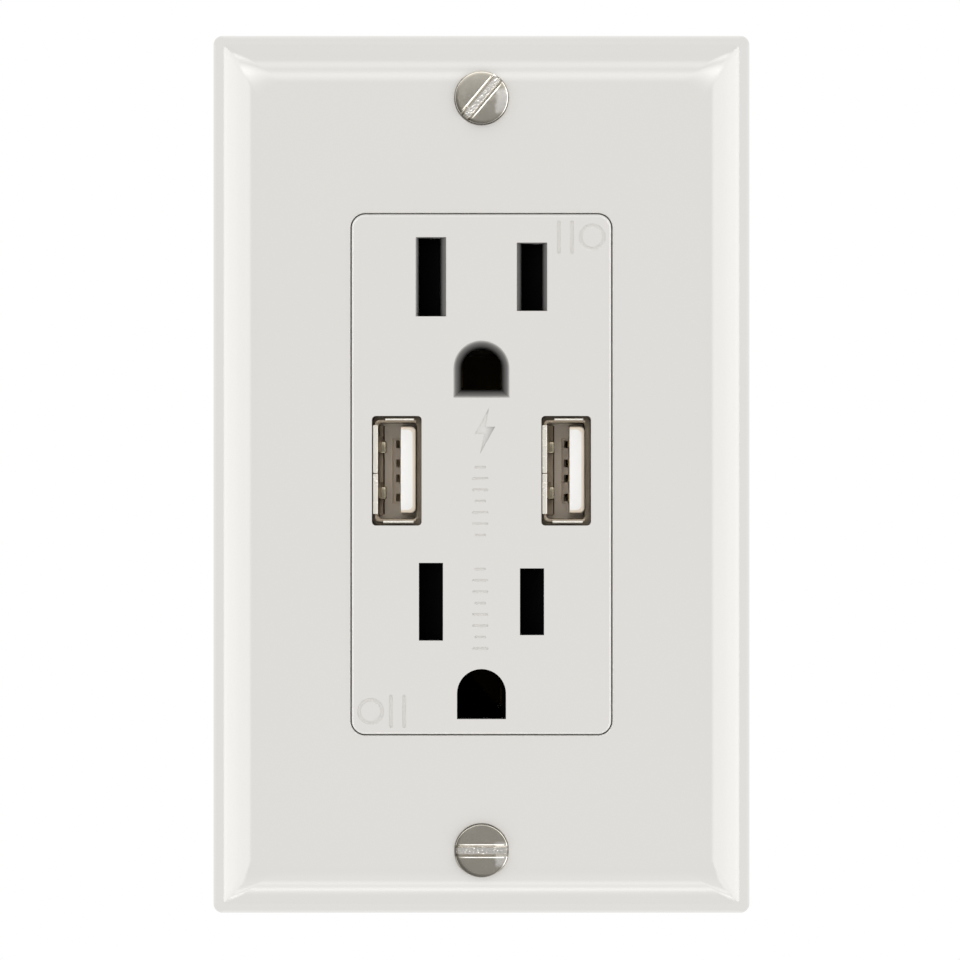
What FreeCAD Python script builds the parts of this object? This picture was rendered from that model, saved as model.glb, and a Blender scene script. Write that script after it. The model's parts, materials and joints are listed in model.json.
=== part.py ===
# Duplex wall socket with two USB-A ports, its cover plate and its works. Sizes are in millimetres.
# Each piece is drawn as seen from the front: x to the right, y up, z out of the wall, and the wall
# surface is z = 0. stand() then turns it so that the front faces -Y and the wall is the plane y = 0.

import FreeCAD, Part
import math
import os
from types import SimpleNamespace
import Sketcher

doc = FreeCAD.newDocument("usb_wall_socket")
sheet = doc.addObject("Spreadsheet::Sheet", "Sizes")


class Length:
    """A number that remembers the expression it is worked out by."""

    def __init__(self, value, text=None):
        self.value = float(value)
        self.text = text or repr(float(value))

    def __add__(self, other):
        other = length(other)
        return Length(self.value + other.value, f"({self.text} + {other.text})")

    def __sub__(self, other):
        other = length(other)
        return Length(self.value - other.value, f"({self.text} - {other.text})")

    def __mul__(self, other):
        other = length(other)
        return Length(self.value * other.value, f"({self.text} * {other.text})")

    def __truediv__(self, other):
        other = length(other)
        return Length(self.value / other.value, f"({self.text} / {other.text})")

    def __neg__(self):
        return self * -1

    def __radd__(self, other):
        return length(other) + self

    def __rsub__(self, other):
        return length(other) - self

    def __rmul__(self, other):
        return self * other


def length(number):
    return number if isinstance(number, Length) else Length(number)


# Driving sizes. Each is a cell of the spreadsheet, and every feature is bound to these cells.
SIZES = {
    # wall plate
    "plate_width": 69.85,
    "plate_end": 8.73,
    "plate_depth": 5.6,
    "plate_corner": 1.2,
    "rim_inset": 1.55,
    "crown_radius": 7.0,
    "crown_sweep": 48.5,
    "face_corner": 1.8,
    "plate_wall": 1.9,
    "collar_wall": 1.2,
    "collar_drop": 1.5,
    "plate_rib": 1.0,
    "rib_inset": 4.9,
    "rib_length": 6.0,
    "opening_gap": 0.15,
    "plate_screw_step": 6.75,
    "plate_boss": 6.2,
    "plate_hole_gap": 0.4,
    "seat_gap": 0.1,
    # face cover
    "outlet_spacing": 41.8,
    "insert_top": 8.05,
    "insert_bottom": 17.05,
    "insert_corner": 1.75,
    "insert_proud": 0.3,
    "insert_edge": 0.35,
    "face_thickness": 2.4,
    "cover_wall": 1.8,
    "flange_side": 4.3,
    "flange_end": 1.3,
    "cover_corner": 1.5,
    "cover_depth": 8.0,
    "stake": 2.0,
    "stake_head": 3.4,
    "stake_head_height": 0.7,
    "stake_inset": 12.75,
    # outlets
    "blade_offset": 6.5,
    "slot_width": 3.1,
    "neutral_slot": 10.0,
    "hot_slot": 8.6,
    "slot_lead": 0.42,
    "slot_lead_end": 0.1,
    "ground_offset": 11.8,
    "ground_radius": 3.15,
    "ground_flat": 3.3,
    "ground_lead": 0.45,
    "lead_depth": 1.6,
    # USB ports
    "port_inset": 5.8,
    "usb_rise": 16.85,
    "usb_shift": 0.45,
    "port_side_gap": 0.35,
    "port_end_gap": 0.5,
    "port_corner": 0.5,
    "port_wall": 1.0,
    "port_wall_depth": 3.0,
    "shell_width": 5.7,
    "shell_length": 13.1,
    "shell_sheet": 0.3,
    "shell_corner": 0.6,
    "shell_recess": 0.5,
    "shell_seam": 0.12,
    "lip_depth": 0.7,
    "lip_flare": 0.3,
    "lip_end_flare": 0.05,
    "tongue_thickness": 1.9,
    "tongue_end_gap": 1.0,
    "tongue_offset": 1.44,
    "tongue_recess": 1.2,
    "tongue_corner": 0.5,
    "tongue_base": 3.0,
    "contact_width": 1.0,
    "contact_sheet": 0.2,
    "contact_groove": 0.1,
    "contact_inner": 1.0,
    "contact_outer": 3.5,
    "contact_recess": 0.9,
    "root_well_width": 0.9,
    "root_well_length": 8.6,
    "root_well_depth": 1.2,
    "root_notch": 0.45,
    "root_notch_depth": 2.2,
    # mounting strap
    "strap_sheet": 1.2,
    "strap_end": 4.78,
    "strap_neck": 18.0,
    "ear_width": 33.0,
    "ear_height": 8.2,
    "ear_chamfer": 2.0,
    "window_gap": 0.3,
    "rail_reach": 3.25,
    "box_screw_step": 8.22,
    "box_slot_width": 4.0,
    "box_slot_length": 7.5,
    "ear_notch_width": 1.3,
    "ear_notch_height": 4.6,
    "ear_notch_offset": 8.4,
    "ground_tab_width": 10.0,
    "ground_tab_depth": 10.5,
    "ground_tab_inset": 8.75,
    "ground_tab_gap": 0.15,
    "ground_screw_depth": 5.6,
    # shutters
    "shutter_thickness": 2.9,
    "shutter_gap": 0.1,
    "shutter_margin": 0.9,
    "shutter_travel": 3.6,
    "shutter_window": 3.5,
    "shutter_rail": 0.7,
    "shutter_toe": 0.4,
    "shutter_tail": 1.15,
    "shutter_overlap": 0.3,
    "guide_wall": 1.0,
    "spring_room": 2.1,
    "spring_wire": 0.35,
    "spring_coil": 2.0,
    "spring_turns": 5.0,
    "spring_peg": 1.2,
    "spring_peg_length": 1.1,
    # contact carrier
    "carrier_gap": 0.2,
    "carrier_deck": 1.6,
    "carrier_wall": 1.0,
    "carrier_foot": 17.9,
    "well_width": 4.6,
    "well_gap": 0.2,
    "tower_wall": 1.0,
    "ground_well": 5.4,
    "ground_well_corner": 0.8,
    "ground_tower_gap": 0.35,
    "peg": 3.0,
    "peg_tip": 1.4,
    "peg_inset": 5.2,
    "peg_y": 7.2,
    # bus bars
    "bus_inset": 5.0,
    "bus_sheet": 1.0,
    "bus_depth": 5.0,
    "bus_above": 3.1,
    "bus_below": 5.1,
    "leaf_sheet": 0.6,
    "leaf_gap": 1.2,
    "leaf_height": 6.0,
    "leaf_front": 1.5,
    "leaf_flare": 0.35,
    "arm_depth": 9.4,
    "arm_sheet": 0.6,
    "terminal_inset": 20.75,
    "terminal_width": 10.0,
    "terminal_lift": 5.1,
    "terminal_foot_gap": 1.1,
    "bus_pin_width": 1.8,
    "bus_pin_drop": 0.4,
    "ground_leaf_gap": 4.9,
    "ground_leaf_height": 4.4,
    "ground_strip_width": 6.0,
    "ground_strip_gap": 0.8,
    "ground_strip_sheet": 0.8,
    "ground_bus_inset": 4.0,
    "ground_arm_width": 5.0,
    # screws
    "screw_diameter": 3.5,
    "thread_gap": 0.03,
    "plate_screw_head": 6.8,
    "plate_screw_sink": 1.7,
    "plate_screw_crown": 0.75,
    "plate_screw_length": 12.0,
    "plate_slot": 1.15,
    "plate_slot_depth": 1.1,
    "sink_gap": 0.05,
    "box_screw_head": 7.0,
    "box_screw_head_height": 2.0,
    "box_screw_length": 23.0,
    "neck_diameter": 3.1,
    "neck_length": 2.3,
    "retainer_size": 9.0,
    "retainer_sheet": 0.9,
    "terminal_head": 7.0,
    "terminal_head_height": 2.4,
    "terminal_screw_length": 5.0,
    "clamp_size": 8.6,
    "clamp_sheet": 1.0,
    "housing_screw": 2.4,
    "housing_screw_head": 3.8,
    "housing_screw_side": 2.1,
    "housing_screw_end": 2.55,
    "housing_screw_head_height": 1.8,
    "housing_screw_grip": 6.0,
    "housing_screw_block": 2.3,
    # boards
    "usb_board_side": 3.7,
    "usb_board_above": 8.25,
    "usb_board_below": 9.85,
    "board_sheet": 1.6,
    "board_depth": 8.6,
    "board_side_gap": 0.4,
    "board_end_gap": 0.65,
    "notch_gap": 0.2,
    "insulator_sheet": 0.5,
    "header_inset": 5.7,
    "header_width": 2.5,
    "header_height": 10.2,
    "header_pin": 0.64,
    "header_pitch": 2.54,
    "pin_reach": 0.8,
    # rear housing
    "back_room": 13.7,
    "housing_wall": 1.8,
    "back_side_step": 2.0,
    "back_end_step": 3.75,
    "back_corner": 5.0,
    "back_chamfer": 1.2,
    "terminal_window": 11.0,
    "terminal_sill": 0.5,
    "barrier": 1.2,
    "barrier_reach": 1.0,
    # parts on the power board
    "core_width": 16.0,
    "core_height": 12.0,
    "core_gap": 1.3,
    "core_leg": 4.0,
    "core_side": 10.7,
    "core_y": -6.0,
    "bulk_diameter": 10.0,
    "bulk_gap": 1.2,
    "bulk_side": 6.7,
    "bulk_end": 9.7,
    "output_diameter": 6.3,
    "output_depth": 10.5,
    "output_side": 5.2,
    "output_end": 21.2,
    "output_pitch": 7.2,
    "coil_diameter": 7.8,
    "coil_waist": 5.2,
    "coil_depth": 8.0,
    "coil_flange": 1.0,
    "coil_step": 8.6,
    "coil_end": 17.2,
    "fuse_diameter": 3.6,
    "fuse_length": 8.4,
    "fuse_cap": 2.0,
    "fuse_end": 3.7,
    "bridge_width": 8.2,
    "bridge_height": 6.4,
    "bridge_depth": 2.6,
    "bridge_side": 9.2,
    "bridge_end": 5.2,
    "chip_width": 3.9,
    "chip_height": 4.9,
    "chip_depth": 1.5,
    "chip_shift": 0.35,
    "chip_rise": 10.9,
    "lead_sheet": 0.25,
    "lead_width": 0.45,
    "lead_reach": 1.1,
    "safety_width": 5.0,
    "safety_height": 13.0,
    "safety_depth": 11.0,
    "safety_side": 8.2,
    "safety_end": 16.2,
    "edge_round": 0.4,
}


def fill_sheet():
    """One row of the spreadsheet for each driving size: its name beside its value."""
    for row, (name, value) in enumerate(SIZES.items(), start=1):
        sheet.set(f"A{row}", name)
        sheet.set(f"B{row}", repr(value))
        sheet.setAlias(f"B{row}", name)
    doc.recompute()
    return SimpleNamespace(**{name: Length(value, f"Sizes.{name}") for name, value in SIZES.items()})


s = fill_sheet()

# Widths that follow from the shutter's travel, and heights that follow from the outlets
shutter_right = s.blade_offset + s.slot_width / 2 + s.shutter_tail
boss_inner_width = (shutter_right + s.shutter_travel + s.spring_room) * 2
insert_width = boss_inner_width + s.cover_wall * 2
insert_height = s.outlet_spacing + s.insert_top + s.insert_bottom
boss_inner_height = insert_height - s.cover_wall * 2
outlet_upper = insert_height / 2 - s.insert_top
outlet_lower = outlet_upper - s.outlet_spacing
box_screw_y = insert_height / 2 + s.box_screw_step
plate_screw_y = box_screw_y + s.plate_screw_step
plate_height = (plate_screw_y + s.plate_end) * 2
cover_width = insert_width + s.flange_side * 2
cover_height = insert_height + s.flange_end * 2
inner_width = cover_width - s.cover_wall * 2
inner_height = cover_height - s.cover_wall * 2
shutter_height = s.neutral_slot + s.shutter_margin * 2
OUTLETS = {"upper": outlet_upper, "lower": outlet_lower}

# USB ports and their board
usb_offset = insert_width / 2 - s.port_inset
usb_middle = outlet_lower + s.usb_rise
board_middle = usb_middle - s.usb_shift
port_width = s.shell_width + s.port_side_gap * 2
port_length = s.shell_length + s.port_end_gap * 2
tongue_length = s.shell_length - s.tongue_end_gap * 2
header_x = s.header_inset - usb_offset
PORTS = {"left": -usb_offset, "right": usb_offset}

# Levels along z that several pieces share
front = s.plate_depth + s.insert_proud
face_back = front - s.face_thickness
flange_back = -s.cover_wall
deck_front = face_back - s.shutter_thickness - s.shutter_gap * 2
deck_back = flange_back - s.carrier_deck
foot = -s.carrier_foot
sheet_back = foot - s.insulator_sheet
board_back = sheet_back - s.board_sheet
usb_board_front = -s.board_depth
usb_board_back = usb_board_front - s.board_sheet
shell_front = front - s.shell_recess
split = -s.cover_depth
shoulder_back = board_back - s.housing_wall
body_back = board_back - s.back_room - s.housing_wall

# Places that are set in from the sides and ends of the cover
bus_offset = cover_width / 2 - s.bus_inset
terminal_y = cover_height / 2 - s.terminal_inset
terminal_z = foot + s.terminal_lift
housing_screw_x = cover_width / 2 - s.housing_screw_side
housing_screw_y = cover_height / 2 - s.housing_screw_end
notch_x = housing_screw_x - s.housing_screw_block
notch_y = housing_screw_y - s.housing_screw_block
ground_tab_y = s.ground_tab_inset - cover_height / 2
ground_tab_x = cover_width / 2 + s.ground_tab_gap + s.strap_sheet
back_width = cover_width - s.back_side_step * 2
back_height = cover_height - s.back_end_step * 2
room_x = back_width / 2 - s.housing_wall
room_y = back_height / 2 - s.housing_wall


# Helpers for sketches and features

def bind(thing, path, size):
    thing.setExpression(path, length(size).text)


def vector(x, y):
    return FreeCAD.Vector(length(x).value, length(y).value, 0)


def hold(sketch, kind, *where):
    """A constraint whose last argument is a size, bound to its expression."""
    size = length(where[-1])
    index = sketch.addConstraint(Sketcher.Constraint(kind, *where[:-1], size.value))
    sketch.setExpression(f"Constraints[{index}]", size.text)


def polygon(*points):
    """A closed outline of straight sides."""
    def draw(sketch):
        first = sketch.GeometryCount
        count = len(points)
        for i, (x, y) in enumerate(points):
            side = Part.LineSegment(vector(x, y), vector(*points[(i + 1) % count]))
            sketch.addGeometry(side, False)
        for i in range(count):
            sketch.addConstraint(
                Sketcher.Constraint("Coincident", first + i, 2, first + (i + 1) % count, 1)
            )
        for i, (x, y) in enumerate(points):
            hold(sketch, "DistanceX", -1, 1, first + i, 1, x)
            hold(sketch, "DistanceY", -1, 1, first + i, 1, y)
    return draw


def box(low_x, high_x, low_y, high_y):
    return polygon((low_x, low_y), (high_x, low_y), (high_x, high_y), (low_x, high_y))


def centred(x, y, width, height):
    return box(x - width / 2, x + width / 2, y - height / 2, y + height / 2)


def rounded(x, y, width, height, radius):
    """A rectangle with a round at each corner."""
    x, y, width, height, radius = (length(size) for size in (x, y, width, height, radius))
    low_x, high_x = x - width / 2, x + width / 2
    low_y, high_y = y - height / 2, y + height / 2

    def draw(sketch):
        first = sketch.GeometryCount
        corners = (
            (high_x - radius, low_y + radius, -90),
            (high_x - radius, high_y - radius, 0),
            (low_x + radius, high_y - radius, 90),
            (low_x + radius, low_y + radius, 180),
        )
        sides = (
            ((low_x + radius, low_y), (high_x - radius, low_y)),
            ((high_x, low_y + radius), (high_x, high_y - radius)),
            ((high_x - radius, high_y), (low_x + radius, high_y)),
            ((low_x, high_y - radius), (low_x, low_y + radius)),
        )
        for side, (centre_x, centre_y, start) in zip(sides, corners):
            sketch.addGeometry(Part.LineSegment(vector(*side[0]), vector(*side[1])), False)
            circle = Part.Circle(vector(centre_x, centre_y), FreeCAD.Vector(0, 0, 1), radius.value)
            arc = Part.ArcOfCircle(circle, math.radians(start), math.radians(start + 90))
            sketch.addGeometry(arc, False)
        for i in range(8):
            sketch.addConstraint(
                Sketcher.Constraint("Tangent", first + i, 2, first + (i + 1) % 8, 1)
            )
        for i in (0, 4):
            sketch.addConstraint(Sketcher.Constraint("Horizontal", first + i))
            sketch.addConstraint(Sketcher.Constraint("Vertical", first + i + 2))
        for i in (3, 5, 7):
            sketch.addConstraint(Sketcher.Constraint("Equal", first + 1, first + i))
        hold(sketch, "Radius", first + 1, radius)
        hold(sketch, "DistanceY", -1, 1, first, 1, low_y)
        hold(sketch, "DistanceX", -1, 1, first + 2, 1, high_x)
        hold(sketch, "DistanceY", -1, 1, first + 4, 1, high_y)
        hold(sketch, "DistanceX", -1, 1, first + 6, 1, low_x)
    return draw


def disc(x, y, diameter):
    def draw(sketch):
        first = sketch.GeometryCount
        circle = Part.Circle(vector(x, y), FreeCAD.Vector(0, 0, 1), length(diameter).value / 2)
        sketch.addGeometry(circle, False)
        hold(sketch, "Diameter", first, diameter)
        hold(sketch, "DistanceX", -1, 1, first, 3, x)
        hold(sketch, "DistanceY", -1, 1, first, 3, y)
    return draw


def dee(y, radius, flat):
    """The ground hole: a half circle above, straight sides and a flat bottom, about x = 0."""
    def draw(sketch):
        first = sketch.GeometryCount
        circle = Part.Circle(vector(0, y), FreeCAD.Vector(0, 0, 1), radius.value)
        sketch.addGeometry(Part.ArcOfCircle(circle, 0, math.pi), False)
        corners = ((-radius, y), (-radius, y - flat), (radius, y - flat), (radius, y))
        for start, end in zip(corners, corners[1:]):
            sketch.addGeometry(Part.LineSegment(vector(*start), vector(*end)), False)
        for i, kind in enumerate(("Tangent", "Coincident", "Coincident", "Tangent")):
            sketch.addConstraint(Sketcher.Constraint(kind, first + i, 2, first + (i + 1) % 4, 1))
        sketch.addConstraint(Sketcher.Constraint("Vertical", first + 1))
        sketch.addConstraint(Sketcher.Constraint("Horizontal", first + 2))
        sketch.addConstraint(Sketcher.Constraint("Vertical", first + 3))
        hold(sketch, "Radius", first, radius)
        hold(sketch, "DistanceX", -1, 1, first, 3, 0)
        hold(sketch, "DistanceY", -1, 1, first, 3, y)
        hold(sketch, "DistanceY", -1, 1, first + 2, 1, y - flat)
    return draw


def stadium(x, y, width, height):
    """A slot that lies along x, with half circles for its ends."""
    def draw(sketch):
        first = sketch.GeometryCount
        radius = height / 2
        reach = width / 2 - radius
        for i, side in enumerate((1, -1)):
            circle = Part.Circle(vector(x + reach * side, y), FreeCAD.Vector(0, 0, 1), radius.value)
            start = -math.pi / 2 + math.pi * i
            sketch.addGeometry(Part.ArcOfCircle(circle, start, start + math.pi), False)
            line = Part.LineSegment(
                vector(x + reach * side, y + radius * side),
                vector(x - reach * side, y + radius * side),
            )
            sketch.addGeometry(line, False)
        for i in range(4):
            sketch.addConstraint(
                Sketcher.Constraint("Tangent", first + i, 2, first + (i + 1) % 4, 1)
            )
        sketch.addConstraint(Sketcher.Constraint("Equal", first, first + 2))
        hold(sketch, "Radius", first, radius)
        hold(sketch, "DistanceX", -1, 1, first, 3, x + reach)
        hold(sketch, "DistanceX", -1, 1, first + 2, 3, x - reach)
        hold(sketch, "DistanceY", -1, 1, first, 3, y)
        hold(sketch, "DistanceY", -1, 1, first + 2, 3, y)
    return draw


def notched(width, height, cut_x, cut_y):
    """A rectangle about the origin whose corners are cut back to cut_x and cut_y."""
    x, y = width / 2, height / 2
    return polygon(
        (-x, -cut_y), (-cut_x, -cut_y), (-cut_x, -y), (cut_x, -y), (cut_x, -cut_y), (x, -cut_y),
        (x, cut_y), (cut_x, cut_y), (cut_x, y), (-cut_x, y), (-cut_x, cut_y), (-x, cut_y),
    )


def new_body(name):
    body = doc.addObject("PartDesign::Body", name)
    body.Label = name
    body.AllowCompound = True
    return body


def new_sketch(body, shapes, role, offset):
    sketch = body.newObject("Sketcher::SketchObject", f"{body.Name}_sketch")
    planes = [plane for plane in body.Origin.OriginFeatures if plane.Role == role]
    sketch.AttachmentSupport = [(planes[0], "")]
    sketch.MapMode = "FlatFace"
    bind(sketch, "AttachmentOffset.Base.z", offset)
    for draw in shapes:
        draw(sketch)
    return sketch


def feature(body, kind, sketch):
    made = body.newObject(f"PartDesign::{kind}", f"{body.Name}_{kind.lower()}")
    made.Profile = sketch
    return made


# Sketch planes by the axis they look along. The normal of XZ points to -y, so its offsets turn round.
ROLES = {"z": ("XY_Plane", 1), "y": ("XZ_Plane", -1), "x": ("YZ_Plane", 1)}


def add(body, low, high, *shapes, along="z"):
    """Material from the level low to the level high, of the outlines drawn."""
    role, sign = ROLES[along]
    base = low if sign > 0 else high
    made = feature(body, "Pad", new_sketch(body, shapes, role, length(base) * sign))
    bind(made, "Length", high - low)
    return made


def cut(body, low, high, *shapes, along="z"):
    """A pocket from the level high down to the level low, of the outlines drawn."""
    role, sign = ROLES[along]
    base = high if sign > 0 else low
    made = feature(body, "Pocket", new_sketch(body, shapes, role, length(base) * sign))
    bind(made, "Length", high - low)
    return made


def turned(body, *profiles, kind="Revolution"):
    """A profile of (radius, z) points turned about the z axis."""
    sketch = new_sketch(body, [polygon(*points) for points in profiles], "XZ_Plane", 0)
    made = feature(body, kind, sketch)
    made.ReferenceAxis = (sketch, ["V_Axis"])
    made.Angle = 360
    return made


def edges_at(body, test):
    """Names of the edges of the body so far whose middle point passes the test."""
    doc.recompute()
    names = []
    for number, edge in enumerate(body.Tip.Shape.Edges, start=1):
        middle = edge.valueAt((edge.FirstParameter + edge.LastParameter) / 2)
        if test(edge, middle):
            names.append(f"Edge{number}")
    return names


def ease(body, kind, size, test):
    """A fillet or a chamfer on the edges that pass the test."""
    names = edges_at(body, test)
    made = body.newObject(f"PartDesign::{kind}", f"{body.Name}_{kind.lower()}")
    made.Base = (body.Group[-2], names)
    bind(made, "Radius" if kind == "Fillet" else "Size", size)
    return made


def level(edge, z):
    """Does the whole edge lie at the level z?"""
    bounds = edge.BoundBox
    return abs(bounds.ZMin - z.value) < 1e-4 and abs(bounds.ZMax - z.value) < 1e-4


def stand(body, x=0, y=0, z=0, turn=None):
    """Turn a piece from the drawing's axes to the row's, at x, y, z of the drawing."""
    upright = FreeCAD.Rotation(FreeCAD.Vector(1, 0, 0), 90)
    body.Placement = FreeCAD.Placement(FreeCAD.Vector(), upright * (turn or FreeCAD.Rotation()))
    bind(body, "Placement.Base.x", x)
    bind(body, "Placement.Base.y", -length(z))
    bind(body, "Placement.Base.z", y)
    return body


# Wall plate and its screws

# Flats that the crown's arc is made of
CROWN_STEPS = 5


def sections(body, kind, *levels):
    """A loft through rounded rectangles: each level is (z, inset, corner radius)."""
    sketches = []
    for z, inset, radius in levels:
        outline = rounded(0, 0, s.plate_width - inset * 2, plate_height - inset * 2, radius)
        sketches.append(new_sketch(body, [outline], "XY_Plane", z))
    made = feature(body, kind, sketches[0])
    made.Sections = sketches[1:]
    made.Ruled = True
    return made


def crown_point(share):
    """How far the crown has run in from the rim's top, and risen, at a share of its sweep."""
    def of_sweep(name, part):
        value = getattr(math, name)(math.radians(s.crown_sweep.value * part))
        return Length(value, f"{name}({s.crown_sweep.text} * {part})")
    run = s.crown_radius * (of_sweep("sin", 1) - of_sweep("sin", 1 - share))
    rise = s.crown_radius * (of_sweep("cos", 1 - share) - of_sweep("cos", 1))
    return run, rise


def wall_plate():
    """A moulding whose rim leans in and whose face rolls over to it in an arc on all four sides."""
    body = new_body("wall_plate")
    run, rise = crown_point(1)
    flat = s.rim_inset + run
    rim_height = s.plate_depth - rise
    inside = s.plate_depth - s.plate_wall
    crown = []
    for step in range(CROWN_STEPS + 1):
        run, rise = crown_point(step / CROWN_STEPS)
        inset = s.rim_inset + run
        corner = s.plate_corner + (s.face_corner - s.plate_corner) * inset / flat
        crown.append((rim_height + rise, inset, corner))
    sections(body, "AdditiveLoft", (0, length(0), s.plate_corner), *crown)
    sections(
        body, "SubtractiveLoft",
        (inside, flat + s.plate_wall / 2, s.plate_corner / 2),
        (rim_height - s.plate_wall / 2, s.plate_wall + s.rim_inset, s.plate_corner / 2),
        (0, s.plate_wall, s.plate_corner / 2),
    )
    width = insert_width + s.opening_gap * 2
    height = insert_height + s.opening_gap * 2
    corner = s.insert_corner + s.opening_gap
    collar = s.collar_wall * 2
    screw_y = plate_screw_y
    buried = inside + s.plate_wall / 4
    add(body, inside - s.collar_drop, buried,
        rounded(0, 0, width + collar, height + collar, corner + s.collar_wall))
    add(body, s.strap_sheet + s.seat_gap, buried,
        *[disc(0, screw_y * side, s.plate_boss) for side in (-1, 1)])
    rib_x = s.plate_width / 2 - s.rib_inset - s.rib_length / 2
    for side in (-1, 1):
        ribs = [
            centred(rib_x * side, screw_y / 2 * end, s.rib_length, s.plate_rib)
            for end in (-1, 0, 1)
        ]
        add(body, inside - s.collar_drop, buried, *ribs)
    cut(body, 0, s.plate_depth, rounded(0, 0, width, height, corner))
    hole = s.screw_diameter / 2 + s.plate_hole_gap
    sink = s.plate_screw_head / 2 + s.sink_gap
    for side in (-1, 1):
        cut(body, 0, s.plate_depth, disc(0, screw_y * side, hole * 2))
        countersink(body, screw_y * side, hole, sink)
    return stand(body)


def countersink(body, y, low_radius, high_radius):
    """The cone that a plate screw's head sits in, cut from the flat face."""
    cone = body.newObject("PartDesign::SubtractiveCone", f"{body.Name}_cone")
    planes = [plane for plane in body.Origin.OriginFeatures if plane.Role == "XY_Plane"]
    cone.AttachmentSupport = [(planes[0], "")]
    cone.MapMode = "FlatFace"
    bind(cone, "AttachmentOffset.Base.y", y)
    bind(cone, "AttachmentOffset.Base.z", s.plate_depth - s.plate_screw_sink)
    bind(cone, "Radius1", low_radius)
    bind(cone, "Radius2", high_radius)
    bind(cone, "Height", s.plate_screw_sink)


def plate_screw(name, side, slot_angle):
    """Oval head over a countersunk cone, with a straight slot and a threaded shank."""
    body = new_body(name)
    rim = s.plate_screw_head / 2
    crown = s.plate_screw_crown
    turned(body, (
        *shank(s.plate_screw_length), (s.screw_diameter / 2, -s.plate_screw_sink),
        (rim, 0), (rim * 0.93, crown * 0.4), (rim * 0.72, crown * 0.72), (rim * 0.4, crown * 0.93),
        (0, crown),
    ))
    cut(body, crown - s.plate_slot_depth, crown,
        centred(0, 0, s.plate_screw_head + crown, s.plate_slot))
    turn = FreeCAD.Rotation(FreeCAD.Vector(0, 0, 1), slot_angle)
    return stand(body, 0, plate_screw_y * side, s.plate_depth, turn)


# Mounting strap

def mounting_strap():
    body = new_body("mounting_strap")
    rail = cover_width / 2
    end = plate_screw_y + s.strap_end
    rail_end = cover_height / 2 + s.rail_reach
    neck, ear = s.strap_neck / 2, s.ear_width / 2
    ear_start = end - s.ear_height
    taper = (rail - neck) / 2
    chamfer = s.ear_chamfer
    quarter = [
        (rail, rail_end - taper), (neck + taper, rail_end), (neck, rail_end),
        (neck, ear_start - chamfer / 2), (ear - chamfer / 2, ear_start - chamfer / 2),
        (ear, ear_start), (ear, end - chamfer), (ear - chamfer, end),
    ]
    right = [(x, -y) for x, y in reversed(quarter)] + quarter
    left = [(-x, -y) for x, y in right]
    add(body, 0, s.strap_sheet, polygon(*right, *left))
    tab_out = ground_tab_x
    tab_low = ground_tab_y - s.ground_tab_width / 2
    tab_high = ground_tab_y + s.ground_tab_width / 2
    add(body, 0, s.strap_sheet, box(-tab_out, -rail + s.strap_sheet, tab_low, tab_high))
    add(body, -s.ground_tab_depth, s.strap_sheet,
        box(-tab_out, -tab_out + s.strap_sheet, tab_low, tab_high))
    ease(body, "Fillet", s.strap_sheet * 0.8,
         lambda edge, middle: level(edge, s.strap_sheet) and abs(middle.x + tab_out.value) < 1e-4)
    window_width = insert_width + s.window_gap * 2
    window_height = insert_height + s.window_gap * 2
    cut(body, 0, s.strap_sheet, rounded(0, 0, window_width, window_height, s.insert_corner))
    tapped = s.screw_diameter + s.thread_gap * 2
    stake_x, stake_y = stake_place()
    stake_hole = s.stake + s.thread_gap * 2
    for side in (-1, 1):
        notches = [
            centred(s.ear_notch_offset * hand, (end - s.ear_height / 2) * side,
                    s.ear_notch_width, s.ear_notch_height)
            for hand in (-1, 1)
        ]
        stakes = [disc(stake_x * hand, stake_y * side, stake_hole) for hand in (-1, 1)]
        cut(body, 0, s.strap_sheet, stadium(0, box_screw_y * side, s.box_slot_length, s.box_slot_width),
            disc(0, plate_screw_y * side, tapped), *notches, *stakes)
    cut(body, -tab_out, -rail, disc(ground_tab_y, -s.ground_screw_depth, tapped), along="x")
    return stand(body)


def stake_place():
    """The heat stakes stand midway between the boss and the edge of the flange."""
    return (insert_width + cover_width) / 4, cover_height / 2 - s.stake_inset


# Face cover

def slot_outlines(y):
    """The neutral slot on the left is the taller one."""
    return (
        centred(-s.blade_offset, y, s.slot_width, s.neutral_slot),
        centred(s.blade_offset, y, s.slot_width, s.hot_slot),
    )


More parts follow.
